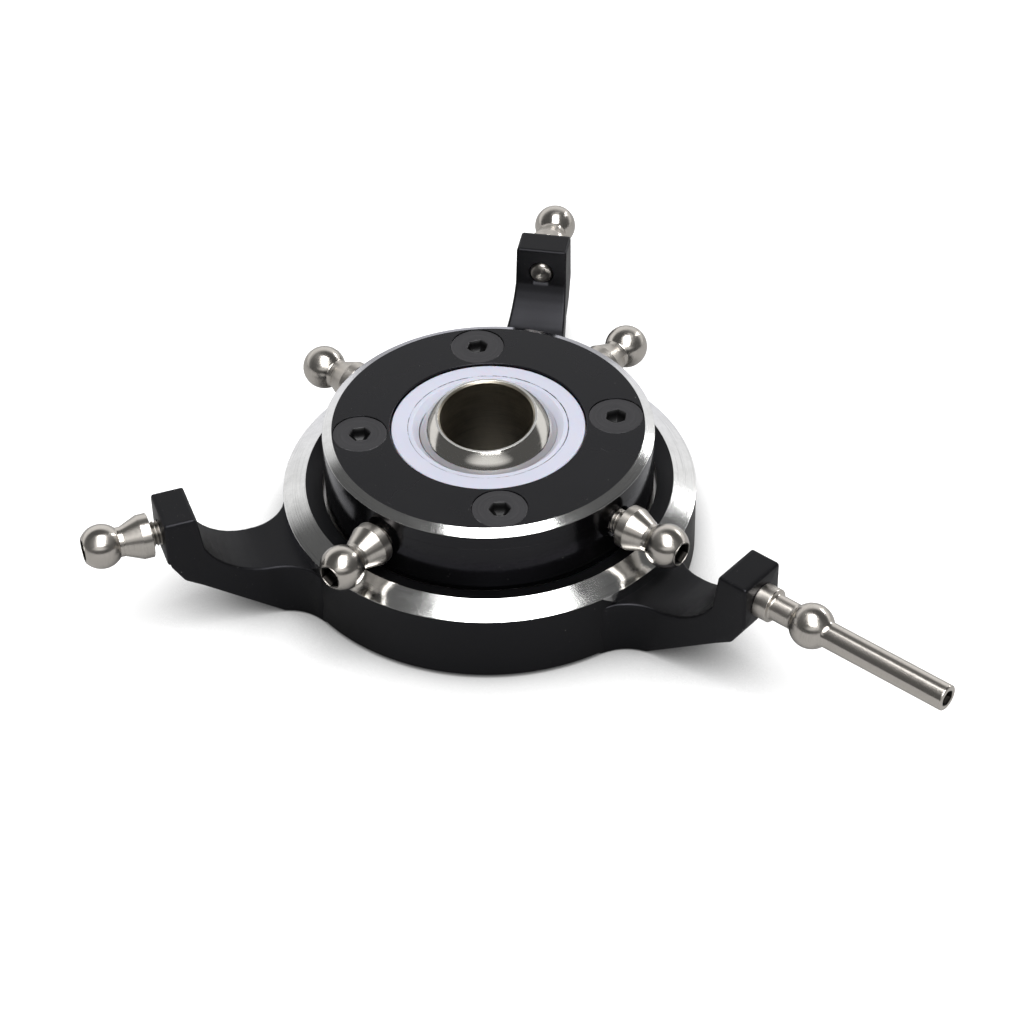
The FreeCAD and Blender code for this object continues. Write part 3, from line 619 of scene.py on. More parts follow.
STUD_STEEL = stud_steel("stud steel", (0.62, 0.585, 0.54, 1.0), 0.30, 10.0)
neck_meets_ball = math.sqrt(LINK_BALL ** 2 - NECK ** 2)
stud_flat_edge = math.sqrt(LINK_BALL ** 2 - BALL_FLAT ** 2)
shank = rounded_section([
    (NECK, -neck_meets_ball - 0.02, 0.0), (NECK, -2.25, 0.25), (FLANGE, -4.15, 0.05),
    (FLANGE, STUD_SEAT, 0.08), (THREAD - 0.1, STUD_SEAT, 0.0)], closed=False)
stud_end = np.array([(1.20, 0.25 - STUD_TIP, 0.0), (1.17, 0.02 - STUD_TIP, 0.0), (1.15, -STUD_TIP, 0.0),
                     (0.8, -STUD_TIP, 0.0), (0.16, -STUD_TIP, 0.0), (0.0, 0.12 - STUD_TIP, 0.0)])
stud_rows = np.vstack([
    [(stud_flat_edge - 0.08, BALL_FLAT, 1.0)],
    arc_rows(LINK_BALL, BALL_FLAT - 0.03, -neck_meets_ball, BALL_ROWS),
    finer(shank, 0.3), thread_rows(STUD_SEAT - 0.02, THREAD_ROWS), stud_end])
stud_points, stud_masks = stud_surface(stud_rows, STUD_KEY, BALL_FLAT, STUD_KEY_DEPTH, STUD_SEAT - 0.02)
studs = [("arm_ball_stud_back", "fixed_star", ARM_BALL_PLACE - BACK_STUD_IN, ARM_ANGLES[1]),
         ("arm_ball_stud_left", "fixed_star", ARM_BALL_PLACE, ARM_ANGLES[2])]
for number, unscrewed in enumerate(STAR_STUDS_OUT):
    studs.append(("star_ball_stud_%d" % (number + 1), "rotating_star", STAR_BALL_PLACE + unscrewed,
                  STAR_TURN + 90 * number))
for node, body, place, angle in studs:
    seated = turned_by(stud_points + np.array([place, 0, 0]), angle)
    stud = skin(node + "_turned", seated, masks=stud_masks)
    fit_piece(stud, body, "stud_steel", STUD_STEEL, node)

# ----------------------------------------------------------------------
# Guide pin: the third arm's stud goes on past its ball as a long plain pin, which slides in a slotted guide
# on the helicopter and stops the fixed ring from turning. Same steel, ground smooth, with a small socket.
# ----------------------------------------------------------------------
PIN_END = 16.4
PIN_FLANGE = 1.85
PIN_KEY = 1.5
PIN_KEY_DEPTH = 2.0
PIN_THREAD_ROWS = 70
PIN_SEAT = ARM_BALL_PLACE - BLOCK_OUTSIDE
pin_meets_ball = math.sqrt(LINK_BALL ** 2 - PIN ** 2)
pin_nose = rounded_section(
    [(1.0, PIN_END, 0.0), (PIN, PIN_END, 0.15), (PIN, pin_meets_ball, 0.0)], closed=False)
pin_shank = rounded_section([
    (PIN, -pin_meets_ball, 0.0), (PIN, -4.5, 0.2), (PIN_FLANGE, -4.62, 0.1), (PIN_FLANGE, -PIN_SEAT, 0.1),
    (THREAD, -PIN_SEAT, 0.0)], closed=False)
pin_rows = np.vstack([finer(pin_nose, 0.5), arc_rows(LINK_BALL, pin_meets_ball, -pin_meets_ball, BALL_ROWS),
                      finer(pin_shank, 0.3), thread_rows(-PIN_SEAT - 0.02, PIN_THREAD_ROWS), stud_end])
pin_points, pin_masks = stud_surface(pin_rows, PIN_KEY, PIN_END, PIN_KEY_DEPTH, -PIN_SEAT - 0.02)
guide_pin = skin("guide_pin_turned", pin_points + np.array([ARM_BALL_PLACE, 0, 0]), masks=pin_masks)
fit_piece(guide_pin, "fixed_star", "stud_steel", STUD_STEEL, "guide_pin_stud")

# ----------------------------------------------------------------------
# Spinning star, body: a turned and anodised rim that the four star studs screw into, with a thin sleeve
# below it for the ball bearing. The rim is polished before anodising, so it is glossier than the ring.
# ----------------------------------------------------------------------
STAR_RADIUS = 17.8
STAR_SPLIT = 1.9
STAR_TOP = 4.0
STAR_RIM_END = -4.0
SEAT_BORE = 10.42
SEAT_FLANGE = 11.65
SEAT_SHELF = 0.65
STAR_STEP = 16.1
SNAP_DEPTH = 0.8
SLEEVE_RADIUS = 15.0
SLEEVE_BORE = 12.6
SLEEVE_END = -10.4
QUARTER_STEPS = 90


def around_hole(outline, hole_rows, face_rows, across, towards):
    """Rows that run from a closed outline in to a round hole and down it. outline and the hole's circle are
    points (a, b) on the face, with the hole's middle at 0, 0; across turns face points into the coordinates in
    which the ways between them are straight, back again by its second form. hole_rows are (distance from the
    middle, depth); towards turns (a, b, depth) into points in space."""
    there, back = across
    way = outline / np.linalg.norm(outline, axis=1)[:, None]
    first, last = there(outline), there(way * hole_rows[0][0])
    share = 1 - np.linspace(1, 0, face_rows, endpoint=False)[:, None, None] ** 1.6
    flat = back(first + (last - first) * share)
    rings = [np.concatenate([flat, np.zeros((*flat.shape[:2], 1))], -1)]
    rings += [np.column_stack([way * d, np.full(len(way), depth)])[None] for d, depth in hole_rows]
    return towards(np.concatenate(rings))


def quarter_outline(low, high, side_steps):
    """Outline of a quarter of a face: across at the low edge, up, back at the high edge and down, as
    (share of the quarter from -1 to 1, edge coordinate)."""
    across = np.linspace(-1, 1, QUARTER_STEPS + 1)
    up = np.linspace(low, high, side_steps + 1)
    first = np.stack([across[:-1], 0 * across[:-1] + low], -1)
    second = np.stack([0 * up[:-1] + 1, up[:-1]], -1)
    third = np.stack([across[::-1][:-1], 0 * across[:-1] + high], -1)
    fourth = np.stack([0 * up[:-1] - 1, up[::-1][:-1]], -1)
    return np.vstack([first, second, third, fourth])


def join_skins(name, parts):
    """Joins open surfaces that share their border points into one closed piece."""
    form = bmesh.new()
    for part in parts:
        form.from_mesh(part.data)
    bmesh.ops.remove_doubles(form, verts=form.verts, dist=1e-6)
    bmesh.ops.recalc_face_normals(form, faces=form.faces)
    mesh = bpy.data.meshes.new(name)
    form.to_mesh(mesh)
    form.free()
    mesh.shade_smooth()
    for part in parts:
        data = part.data
        bpy.data.objects.remove(part)
        bpy.data.meshes.remove(data)
    return place_object(name, mesh)


STAR_BLACK = black_anodised("star black", 0.27, 0.002, 0.36)
WALL_TOP = STAR_SPLIT - 0.02
WALL_FOOT = STAR_RIM_END + 0.3
WALL_ROWS = 36
AS_IT_IS = (lambda points: points, lambda points: points)
wall_outline = quarter_outline(WALL_FOOT, WALL_TOP, 40)
wall_outline[:, 0] *= math.pi / 4 * STAR_RADIUS
stud_mouth = [(TAPPED_HOLE + 0.42, 0.0), (TAPPED_HOLE + 0.38, 0.0), (TAPPED_HOLE + 0.34, 0.02),
              (TAPPED_HOLE + 0.02, 0.36), (TAPPED_HOLE, 0.40), (TAPPED_HOLE, 2.5), (TAPPED_HOLE, 4.0),
              (0.0, 4.0)]


def onto_rim(unrolled):
    """(way round, height, depth) on the star's rim to points in space, with the hole's middle on +X."""
    angle = unrolled[..., 0] / STAR_RADIUS
    radius = STAR_RADIUS - unrolled[..., 2]
    return np.stack([radius * np.cos(angle), radius * np.sin(angle), unrolled[..., 1]], -1)


body_rows = rounded_section([
    (STAR_RADIUS, WALL_FOOT, 0.0), (STAR_RADIUS, STAR_RIM_END + 0.25, 0.03),
    (STAR_RADIUS - 0.25, STAR_RIM_END, 0.03), (STAR_STEP, STAR_RIM_END, 0.05),
    (STAR_STEP, RACE_SEAT_TOP, 0.0), (SLEEVE_RADIUS, RACE_SEAT_TOP, 0.0), (SLEEVE_RADIUS, CIRCLIP_TOP, 0.0),
    (SLEEVE_RADIUS - SNAP_DEPTH, CIRCLIP_TOP, 0.0), (SLEEVE_RADIUS - SNAP_DEPTH, CIRCLIP_FOOT, 0.0),
    (SLEEVE_RADIUS, CIRCLIP_FOOT, 0.0), (SLEEVE_RADIUS, SLEEVE_END + 0.3, 0.08),
    (SLEEVE_RADIUS - 0.3, SLEEVE_END, 0.08),
    (SLEEVE_BORE + 0.3, SLEEVE_END, 0.08), (SLEEVE_BORE, SLEEVE_END + 0.3, 0.08), (SLEEVE_BORE, -5.1, 0.1),
    (SEAT_BORE, -3.8, 0.1), (SEAT_BORE, SEAT_SHELF, 0.0), (SEAT_FLANGE, SEAT_SHELF, 0.0),
    (SEAT_FLANGE, STAR_SPLIT, 0.0),
    (STAR_RADIUS, STAR_SPLIT, 0.0), (STAR_RADIUS, WALL_TOP, 0.0)], closed=False)
start_angle = STAR_TURN - 45
parts = [lathe("star_body_round", finer(body_rows, 1.0), 4 * QUARTER_STEPS, closed=False,
               start=start_angle, masks={"polish": 1.0})]
for quarter in range(4):
    wall = around_hole(wall_outline, stud_mouth, WALL_ROWS, AS_IT_IS, onto_rim)
    wall_edge = np.zeros(wall.shape[:2])
    wall_edge[WALL_ROWS + 1:WALL_ROWS + 4] = 1.0
    parts.append(skin("star_wall", turned_by(wall, STAR_TURN + 90 * quarter),
                      masks={"edge": wall_edge, "polish": 1.0}))
star_body = join_skins("star_body_turned", parts)
fit_piece(star_body, "rotating_star", "black_anodised_star", STAR_BLACK, "star_body")

# ----------------------------------------------------------------------
# Spinning star, top plate: a black anodised cover that holds the plastic seat ring down. Its rim is
# chamfered after anodising, which leaves a narrow bare band, and four countersinks take the screws.
# ----------------------------------------------------------------------
PLATE_FACE = 16.77
PLATE_CHAMFER = 0.5
SCREW_CIRCLE = 13.75
SCREW_HEAD = 2.95
SINK_MOUTH = SCREW_HEAD + 0.03
SCREW_HOLE = 1.6
PLATE_BORE = 10.56
FACE_START = PLATE_BORE + 0.06
FACE_EDGE = PLATE_FACE - 0.02
FACE_ROWS = 24


def onto_plate(flat):
    """(out, across, depth) round a screw's middle to points on the plate, with that screw on +X."""
    return np.stack([SCREW_CIRCLE + flat[..., 0], flat[..., 1], STAR_TOP - flat[..., 2]], -1)


def from_screw(points):
    """(out, across) round a screw's middle to (distance from the shaft, angle about it)."""
    out = points[..., 0] + SCREW_CIRCLE
    return np.stack([np.hypot(out, points[..., 1]), np.arctan2(points[..., 1], out)], -1)


def to_screw(places):
    """(distance from the shaft, angle about it) to (out, across) round a screw's middle."""
    return np.stack([places[..., 0] * np.cos(places[..., 1]) - SCREW_CIRCLE,
                     places[..., 0] * np.sin(places[..., 1])], -1)


face_outline = quarter_outline(FACE_START, FACE_EDGE, 60)
face_flat = to_screw(np.stack([face_outline[:, 1], face_outline[:, 0] * math.pi / 4], -1))
sink_rows = [(SINK_MOUTH + 0.02, 0.0), (SINK_MOUTH + 0.01, 0.003), (SINK_MOUTH, 0.012),
             (SINK_MOUTH - 0.01, 0.05), (SINK_MOUTH - 0.02, 0.2), (SCREW_HOLE + 0.02, 1.54),
             (SCREW_HOLE, 1.6), (SCREW_HOLE, STAR_TOP - STAR_SPLIT)]
plate_rows = rounded_section([
    (FACE_EDGE, STAR_TOP, 0.0), (PLATE_FACE, STAR_TOP, 0.02), (STAR_RADIUS, STAR_TOP - PLATE_CHAMFER, 0.04),
    (STAR_RADIUS, STAR_SPLIT + 0.01, 0.0), (STAR_RADIUS, STAR_SPLIT, 0.0), (PLATE_BORE, STAR_SPLIT, 0.0),
    (PLATE_BORE, STAR_TOP - 0.04, 0.0), (PLATE_BORE + 0.04, STAR_TOP, 0.0), (FACE_START, STAR_TOP, 0.0)],
    closed=False)
plate_rows = finer(plate_rows, 0.3)
plate_bare = (plate_rows[:, 0] > PLATE_FACE) & (plate_rows[:, 1] > STAR_TOP - PLATE_CHAMFER - 0.015)
plate_wall = (plate_rows[:, 0] > STAR_RADIUS - 0.02) & (plate_rows[:, 1] < STAR_TOP - PLATE_CHAMFER)
parts = [lathe("plate_round", plate_rows, 4 * QUARTER_STEPS, closed=False, start=start_angle,
               masks={"bare": plate_bare[:, None] * 1.0, "polish": plate_wall[:, None] * 1.0})]
for quarter in range(4):
    face = around_hole(face_flat, sink_rows, FACE_ROWS, (from_screw, to_screw), onto_plate)
    face_edge = np.zeros(face.shape[:2])
    face_edge[FACE_ROWS + 1:FACE_ROWS + 4] = 1.0
    parts.append(skin("plate_face", turned_by(face, STAR_TURN + 45 + 90 * quarter),
                      masks={"edge": face_edge, "bare": 0.0}))
top_plate = join_skins("star_top_plate_turned", parts)
fit_piece(top_plate, "rotating_star", "black_anodised_star", STAR_BLACK, "star_top_plate")

# ----------------------------------------------------------------------
# Four M3 countersunk screws of blackened alloy steel hold the top plate down. The heads are rolled and
# lightly turned, sit just below the plate and have a 2 mm hexagon socket.
# ----------------------------------------------------------------------
HEAD_TOP = STAR_TOP - 0.08
SCREW_KEY = 2.0
SCREW_KEY_DEPTH = 1.2
FIRST_SPIN = 17.0
NEXT_SPIN = 23.0
SCREW_SHANK = 1.45
SCREW_TIP = -5.92
NO_THREAD = -99.0


def screw_black():
    """Black oxide on steel: dark grey, oily satin, with rings left by the tool and a socket painted near black
    as its shade.
    """
    finish, tree, shader, place, handled, cut = start_finish(
        "screw black oxide", 0.55, 0.5, 5.0, 0.6, Specular_IOR_Level=0.5)
    tone = blend_colour(tree, cut["Height"], (0.030, 0.030, 0.033, 1), (0.062, 0.060, 0.064, 1))
    tone = blend_colour(tree, product(tree, handled["Wear"], 0.6), tone, WORN_METAL)
    tone = blend_colour(tree, handled["Dust"], tone, DUST)
    # painted shade: the hexagon socket is coloured near black
    tone = blend_colour(tree, product(tree, mask(tree, "socket"), 0.85), tone, (0.004, 0.004, 0.004, 1))
    rough = ramp(tree, handled["Cloud"], 0.3, 0.7, 0.36, 0.48)
    dress(tree, shader, tone, rough, cut["Height"], 0.4, 0.00003)
    return finish


SCREW_BLACK = screw_black()
screw_rows = rounded_section([
    (1.25, 0.0, 0.0), (SCREW_HEAD - 0.05, 0.0, 0.06), (SCREW_HEAD, -0.12, 0.03), (SCREW_SHANK, -1.62, 0.1),
    (SCREW_SHANK, -5.7, 0.1), (SCREW_SHANK - 0.3, SCREW_TIP, 0.1), (0.0, SCREW_TIP, 0.0)], closed=False)
screw_rows = finer(screw_rows, 0.25)
screw_points, screw_masks = stud_surface(screw_rows, SCREW_KEY, 0.0, SCREW_KEY_DEPTH, NO_THREAD, 120)
screw_points = np.stack([-screw_points[..., 2], screw_points[..., 1], screw_points[..., 0]], -1)
screw_place = np.array([SCREW_CIRCLE, 0, HEAD_TOP])
for quarter in range(4):
    spin = FIRST_SPIN + NEXT_SPIN * quarter
    seated = turned_by(turned_by(screw_points, spin) + screw_place, STAR_TURN + 45 + 90 * quarter)
    screw = skin("star_plate_screw_%d" % (quarter + 1), seated, masks=screw_masks)
    fit_piece(screw, "rotating_star", "black_oxide", SCREW_BLACK, "star_plate_screws")

# ----------------------------------------------------------------------
# Seat ring and split liner: white acetal turned to size. The ring is trapped under the top plate, and the
# liner inside it holds the centre ball in a spherical bowl, so that the swashplate can lean on the ball.
# ----------------------------------------------------------------------
RING_LIP = 8.6
SEAT_OUTSIDE = SEAT_BORE - 0.04
SEAT_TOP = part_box("ball_seat_ring")[1].z / MM - 0.1
LINER_OUTSIDE = 9.5
LINER_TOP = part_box("liner_upper")[1].z / MM - 0.1
LINER_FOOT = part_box("liner_lower")[0].z / MM
BOWL = 8.04
SEAT_FOOT = -3.7
SEAT_POCKET = LINER_OUTSIDE + 0.05
SEAT_STEP = 2.65
LINER_STEP = 2.6
LINER_LIP = RING_LIP - 0.035
BOWL_TOP = 3.1
BOWL_FOOT = -3.0
LINER_TOWARDS = 250.0
LINER_ASIDE = 0.03


def acetal(name, tone, rough):
    """White acetal: milky, slightly see-through at its surface, with faint marks of the tool and a little grey
    rubbed into its edges. Where the mask says, a near black broken by a noise is painted in as the shade in
    the crack between the seat ring and the liner."""
    finish, tree, shader, place, handled, cut = start_finish(
        name, 0.0, 0.35, 4.0, 1.0, Subsurface_Weight=0.25, Subsurface_Scale=0.0006, Specular_IOR_Level=0.45)
    colour = blend_colour(tree, handled["Cloud"], tone, dimmed(tone, 0.90))
    colour = blend_colour(tree, product(tree, handled["Wear"], 0.35), colour, (0.32, 0.31, 0.34, 1))
    colour = blend_colour(tree, product(tree, handled["Scratch"], 0.2), colour, (0.45, 0.45, 0.48, 1))
    broken = ramp(tree, noise(tree, place, 900.0, 3.0, 0.7), 0.38, 0.55)
    # painted shade: near black in the crack between the seat ring and the liner, broken by a noise
    colour = blend_colour(tree, product(tree, mask(tree, "crack_shade"), broken), colour, (0.012, 0.010, 0.010, 1))
    worked = ramp(tree, cut["Height"], 0.3, 0.7, rough - 0.04, rough + 0.06)
    dress(tree, shader, colour, worked, cut["Height"], 0.25, 0.00001)
    return finish


WHITE_ACETAL = acetal("white acetal", (0.54, 0.55, 0.645, 1.0), 0.38)
seat_rows = rounded_section([
    (RING_LIP, SEAT_STEP, 0.0), (RING_LIP, SEAT_TOP, 0.02), (SEAT_OUTSIDE, SEAT_TOP, 0.12),
    (SEAT_OUTSIDE, STAR_SPLIT, 0.0), (SEAT_FLANGE - 0.05, STAR_SPLIT, 0.05),
    (SEAT_FLANGE - 0.05, SEAT_SHELF, 0.05), (SEAT_OUTSIDE, SEAT_SHELF, 0.0),
    (SEAT_OUTSIDE, SEAT_FOOT, 0.1), (9.1, SEAT_FOOT, 0.1),
    (9.1, LINER_FOOT - 0.05, 0.0), (SEAT_POCKET, LINER_FOOT - 0.05, 0.0), (SEAT_POCKET, SEAT_STEP, 0.0)])
seat_rows = finer(seat_rows, 0.4)
# the seat ring's inner wall above the liner's step, where the crack's shade is painted
crack_shade = ((seat_rows[:, 0] < RING_LIP + 0.05) & (seat_rows[:, 1] > LINER_STEP)) * 1.0
seat_ring = lathe("ball_seat_ring_turned", seat_rows, 360, masks={"crack_shade": crack_shade[:, None]})
fit_piece(seat_ring, "rotating_star", "white_plastic", WHITE_ACETAL, "ball_seat_ring")


def way_from(turn, rise):
    """The direction at an angle round the shaft and an angle above level, both in degrees."""
    turn, rise = math.radians(turn), math.radians(rise)
    return Vector((math.cos(turn) * math.cos(rise), math.sin(turn) * math.cos(rise), math.sin(rise)))


def bowl_rows(first, last, count):
    """Rows on the liner's bowl, a sphere just larger than the centre ball, between two heights."""
    height = np.linspace(first, last, count)
    return np.stack([np.sqrt(BOWL ** 2 - height ** 2), height, 0 * height], -1)


upper_rows = np.vstack([bowl_rows(0.0, BOWL_TOP, 16), rounded_section([
    (bowl_rows(BOWL_TOP, BOWL_TOP, 1)[0, 0] + 0.01, BOWL_TOP + 0.02, 0.0), (8.1, LINER_TOP, 0.05),
    (LINER_LIP, LINER_TOP, 0.02), (LINER_LIP, LINER_STEP, 0.0), (LINER_OUTSIDE, LINER_STEP, 0.05),
    (LINER_OUTSIDE, 0.0, 0.0)], closed=False)])
lower_rows = np.vstack([bowl_rows(0.0, BOWL_FOOT, 16), rounded_section([
    (bowl_rows(BOWL_FOOT, BOWL_FOOT, 1)[0, 0] + 0.01, BOWL_FOOT - 0.02, 0.0), (8.06, LINER_FOOT, 0.08),
    (LINER_OUTSIDE, LINER_FOOT, 0.08), (LINER_OUTSIDE, 0.0, 0.0)], closed=False)])
liner_shift = way_from(LINER_TOWARDS, 0.0) * LINER_ASIDE * MM
for half, rows in (("upper", upper_rows), ("lower", lower_rows)):
    liner = lathe("liner_%s_turned" % half, rows, 240)
    liner.data.transform(Matrix.Translation(liner_shift))
    fit_piece(liner, "liner", "white_plastic", WHITE_ACETAL, "liner_" + half)

# ----------------------------------------------------------------------
# Centre ball: hardened steel, ground and nickel plated, bored through to slide on the main shaft. The ball
# is polished; the bore is only reamed, so it stays darker and shows fine rings.
# ----------------------------------------------------------------------
BALL = 8.0
BALL_END = 5.86
SHAFT_HOLE = 5.0
HOLE_CHAMFER = 0.22
FACED = 0.36
SHAFT_WAY = Vector(frame["record"]["mounts"][0]["axis"])


def ball_nickel():
    """Nickel plate: a polished sphere with faint rings and fine wiping scratches, duller in the bore and on
    the faced ends. The faced ends are given a lighter tone, a painted highlight for their rims."""
    finish, tree, shader, place, handled, cut = start_finish("ball nickel", 1.0, 0.5, 6.0, 1.5)
    bored = ramp(tree, mask(tree, "bore"), 0.4, 0.6)
    faced = mask(tree, "faced")
    tone = blend_colour(tree, handled["Cloud"], (0.70, 0.68, 0.64, 1), (0.60, 0.58, 0.54, 1))
    tone = blend_colour(tree, product(tree, handled["Scratch"], 0.4), tone, (0.85, 0.84, 0.82, 1))
    # painted highlight: a lighter tone on the faced ends stands in for the highlight on their rims
    tone = blend_colour(tree, faced, tone, (0.92, 0.91, 0.88, 1))
    dull = blend_colour(tree, cut["Height"], (0.36, 0.33, 0.27, 1), (0.58, 0.53, 0.44, 1))
    polish = ramp(tree, cut["Height"], 0.35, 0.75, 0.09, 0.16)
    reamed = ramp(tree, cut["Height"], 0.3, 0.7, 0.28, 0.40)
    rough = blend_value(tree, faced, blend_value(tree, bored, polish, reamed), FACED)
    dress(tree, shader, blend_colour(tree, bored, tone, dull), rough, cut["Height"], 0.25, 0.000006)
    return finish


BALL_NICKEL = ball_nickel()
end_radius = math.sqrt(BALL ** 2 - BALL_END ** 2)
mouth = rounded_section([
    (SHAFT_HOLE, 0.0, 0.0), (SHAFT_HOLE, BALL_END - HOLE_CHAMFER, 0.05),
    (SHAFT_HOLE + HOLE_CHAMFER, BALL_END, 0.04), (end_radius, BALL_END, 0.04),
    (end_radius + 0.7, BALL_END - 0.85, 0.0)], closed=False)
sphere_end = math.asin((BALL_END - 0.12) / BALL)
sphere_turn = np.linspace(sphere_end, -sphere_end, 72)
sphere = np.stack([BALL * np.cos(sphere_turn), BALL * np.sin(sphere_turn), 0 * sphere_turn], -1)
upper = mouth[:-1]
lower = upper[::-1] * np.array([1, -1, 1])
ball_rows = finer(np.vstack([upper[1:-1], sphere, lower[1:-1], upper[:1]]), 0.5)
in_bore = ((ball_rows[:, 0] < SHAFT_HOLE + HOLE_CHAMFER - 0.01) * 1.0)[:, None]
flat_end = ((np.abs(ball_rows[:, 1]) > BALL_END - 0.01) * 1.0)[:, None]
centre_ball = lathe("center_ball_ground", ball_rows, 360, masks={"bore": in_bore, "faced": flat_end})
centre_ball.data.transform(Vector((0, 0, 1)).rotation_difference(SHAFT_WAY).to_matrix().to_4x4())
fit_piece(centre_ball, "ball", "polished_ball", BALL_NICKEL, "center_ball")

# ----------------------------------------------------------------------
# Bearing and its clips, seen only from below: ground races, pressed shields, a brass cage with its balls,
# and two sprung clips of phosphated steel that keep the races in the ring and on the star's sleeve.
# ----------------------------------------------------------------------


def bearing_finish(name, tint, metallic, rough):
    """Ground or pressed metal: fine rings round the shaft axis, worked out from place, and an oily cloud."""
    finish, tree, shader, place, handled = start_finish(name, metallic, 0.5)[:5]
    part = add(tree, "ShaderNodeSeparateXYZ", Vector=place)
    squares = [math_node(tree, "POWER", part.outputs[axis], 2.0) for axis in "XY"]
    out = math_node(tree, "SQRT", math_node(tree, "ADD", *squares))
    rings = add(tree, "ShaderNodeCombineXYZ", X=out, Z=part.outputs["Z"])
    fine = noise(tree, rings.outputs[0], 6000.0, 2.0)
    tone = blend_colour(tree, handled["Cloud"], tint, dimmed(tint, 0.7))
    tone = blend_colour(tree, product(tree, fine, 0.4), tone, dimmed(tint, 0.7))
    dress(tree, shader, tone, ramp(tree, fine, 0.3, 0.7, rough - 0.05, rough + 0.08), fine, 0.3, 0.00001)
    return finish


BEARING_STEEL = bearing_finish("bearing steel", (0.62, 0.61, 0.60, 1), 1.0, 0.22)
SHIELD_STEEL = bearing_finish("shield steel", (0.50, 0.49, 0.47, 1), 1.0, 0.35)
CAGE_BRASS = bearing_finish("cage brass", (0.62, 0.44, 0.20, 1), 1.0, 0.32)
CLIP_STEEL = bearing_finish("clip steel", (0.06, 0.06, 0.065, 1), 0.6, 0.42)
for node, finish in (("bearing_inner_race", BEARING_STEEL), ("bearing_outer_race", BEARING_STEEL),
                     ("bearing_balls", BEARING_STEEL), ("bearing_shield_top", SHIELD_STEEL),
                     ("bearing_shield_bottom", SHIELD_STEEL), ("bearing_cage", CAGE_BRASS),
                     ("bearing_circlip", CLIP_STEEL), ("hub_snap_ring", CLIP_STEEL)):
    for holder in frame["nodes"][node].material_slots:
        holder.material = finish

# ----------------------------------------------------------------------
# Studio: the ring stands on a white table, with a white sweep behind it that darkens upwards, a large soft
# box above and a white board on the camera's side, and one small lamp from the side.
# ----------------------------------------------------------------------
CAMERA_TURN = -49.01
CAMERA_RISE = 40.98
CAMERA_DISTANCE = 0.32063
CAMERA_ROLL = -1.09
CAMERA_LENS = 107.06
AIM = Vector((0.00817, -0.00580, 0.0))
TABLE_REACH = 1.5
PAPER_SEEN = 0.8
PAPER_LIT = 0.44
PAPER_GLOW = 0.6
SWEEP_BRIGHT_TO = 33.0
SWEEP_DARK_FROM = 48.0
SWEEP_DARK = 0.11
BOARD_RISES = (16.0, 24.0, 42.0, 50.0)
BOARD_SIDES = (0.62, 0.90)
towards_camera = way_from(CAMERA_TURN, CAMERA_RISE)
camera_data = bpy.data.cameras.new("camera")
camera_data.lens = CAMERA_LENS
camera_data.sensor_width = 36.0
camera_data.clip_start = 0.01
camera = place_object("camera", camera_data)
camera.location = AIM + towards_camera * CAMERA_DISTANCE
camera.rotation_mode = "QUATERNION"
camera.rotation_quaternion = (-towards_camera).to_track_quat("-Z", "Y") @ Quaternion(
    (0, 0, 1), math.radians(CAMERA_ROLL))
bpy.context.scene.camera = camera

floor_mesh = bpy.data.meshes.new("table_top")
square = ((-1, -1), (1, -1), (1, 1), (-1, 1))
corners = [(x * TABLE_REACH, y * TABLE_REACH, RING_FOOT * MM) for x, y in square]
floor_mesh.from_pydata(corners, [], [(0, 1, 2, 3)])
table_top = place_object("table_top", floor_mesh)
paper = bpy.data.materials.new("white paper")
paper.use_nodes = True
tree = paper.node_tree
tree.nodes.clear()
seen = tree.nodes.new("ShaderNodeLightPath").outputs["Is Camera Ray"]
# Painted shadow: ambient occlusion darkens the paper's colour and its glow near the ring, as a contact shadow.
hollow = add(tree, "ShaderNodeAmbientOcclusion", {"samples": 8}, Distance=0.012).outputs["AO"]
shade = math_node(tree, "POWER", hollow, 1.3)
white = product(tree, shade, ramp(tree, seen, 0.0, 1.0, PAPER_LIT, PAPER_SEEN))
diffuse = add(tree, "ShaderNodeBsdfDiffuse", Color=white)
glow = add(tree, "ShaderNodeEmission", Color=(1, 1, 1, 1),
           Strength=product(tree, seen, product(tree, shade, PAPER_GLOW)))
both = add(tree, "ShaderNodeAddShader", in0=diffuse.outputs[0], in1=glow.outputs[0])
add(tree, "ShaderNodeOutputMaterial", Surface=both.outputs[0])
floor_mesh.materials.append(paper)

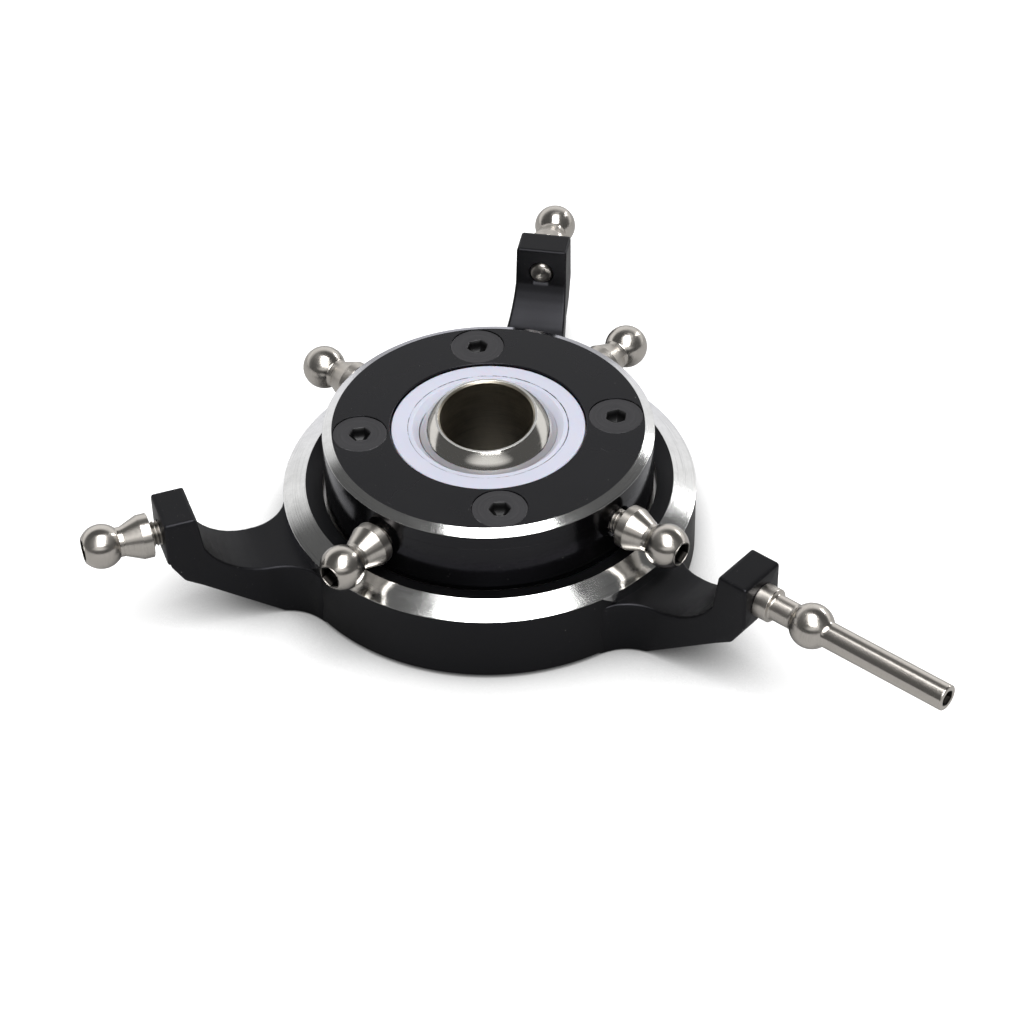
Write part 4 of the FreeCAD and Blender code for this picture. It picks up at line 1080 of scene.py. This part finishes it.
world = bpy.data.worlds.new("studio")
world.use_nodes = True
bpy.context.scene.world = world
tree = world.node_tree
tree.nodes.clear()
direction = tree.nodes.new("ShaderNodeTexCoord").outputs["Generated"]
part = add(tree, "ShaderNodeSeparateXYZ", Vector=direction)
facing = add(tree, "ShaderNodeVectorMath", {"operation": "DOT_PRODUCT"}, in0=direction,
             in1=way_from(CAMERA_TURN, 0.0)).outputs["Value"]
height = part.outputs["Z"]
away = math_node(tree, "MAXIMUM", product(tree, facing, -1.0), 0.02)
steepness = math_node(tree, "DIVIDE", height, away)
sweep = ramp(tree, steepness, math.tan(math.radians(SWEEP_BRIGHT_TO)),
             math.tan(math.radians(SWEEP_DARK_FROM)), 1.0, SWEEP_DARK)
rises = [math.sin(math.radians(angle)) for angle in BOARD_RISES]
board_height = product(tree, ramp(tree, height, *rises[:2]), ramp(tree, height, *rises[2:], 1.0, 0.0))
board = product(tree, board_height, ramp(tree, facing, *BOARD_SIDES))
seen = tree.nodes.new("ShaderNodeLightPath").outputs["Is Camera Ray"]
strength = math_node(tree, "MAXIMUM", math_node(tree, "MAXIMUM", sweep, board), seen)
sky = add(tree, "ShaderNodeBackground", Color=(1, 1, 1, 1), Strength=strength)
add(tree, "ShaderNodeOutputWorld", Surface=sky.outputs[0])

SOFTBOX_RISE = 69.0
SOFTBOX_DISTANCE = 0.60
SOFTBOX_ASIDE = 0.035
SOFTBOX_SIZE = (0.34, 0.65)
SOFTBOX_WATTS = 5.2
LAMP_TURN = 83.0
LAMP_RISE = 25.0
LAMP_DISTANCE = 0.60
LAMP_SIZE = (0.09, 0.09)
LAMP_WATTS = 0.35


def area_light(name, turn, rise, distance, aside, size, watts):
    """A rectangular light that looks at the shaft axis from a direction given in degrees."""
    way = way_from(turn, rise)
    data = bpy.data.lights.new(name, "AREA")
    data.shape = "RECTANGLE"
    data.size, data.size_y = size
    data.energy = watts
    light = place_object(name, data)
    light.location = way * distance + way_from(turn + 90.0, 0.0) * aside
    light.rotation_mode = "QUATERNION"
    light.rotation_quaternion = (-way).to_track_quat("-Z", "Y")


area_light("soft_box", CAMERA_TURN, SOFTBOX_RISE, SOFTBOX_DISTANCE, SOFTBOX_ASIDE, SOFTBOX_SIZE,
           SOFTBOX_WATTS)
area_light("side_lamp", LAMP_TURN, LAMP_RISE, LAMP_DISTANCE, 0.0, LAMP_SIZE, LAMP_WATTS)
bpy.context.scene.view_settings.view_transform = "Standard"
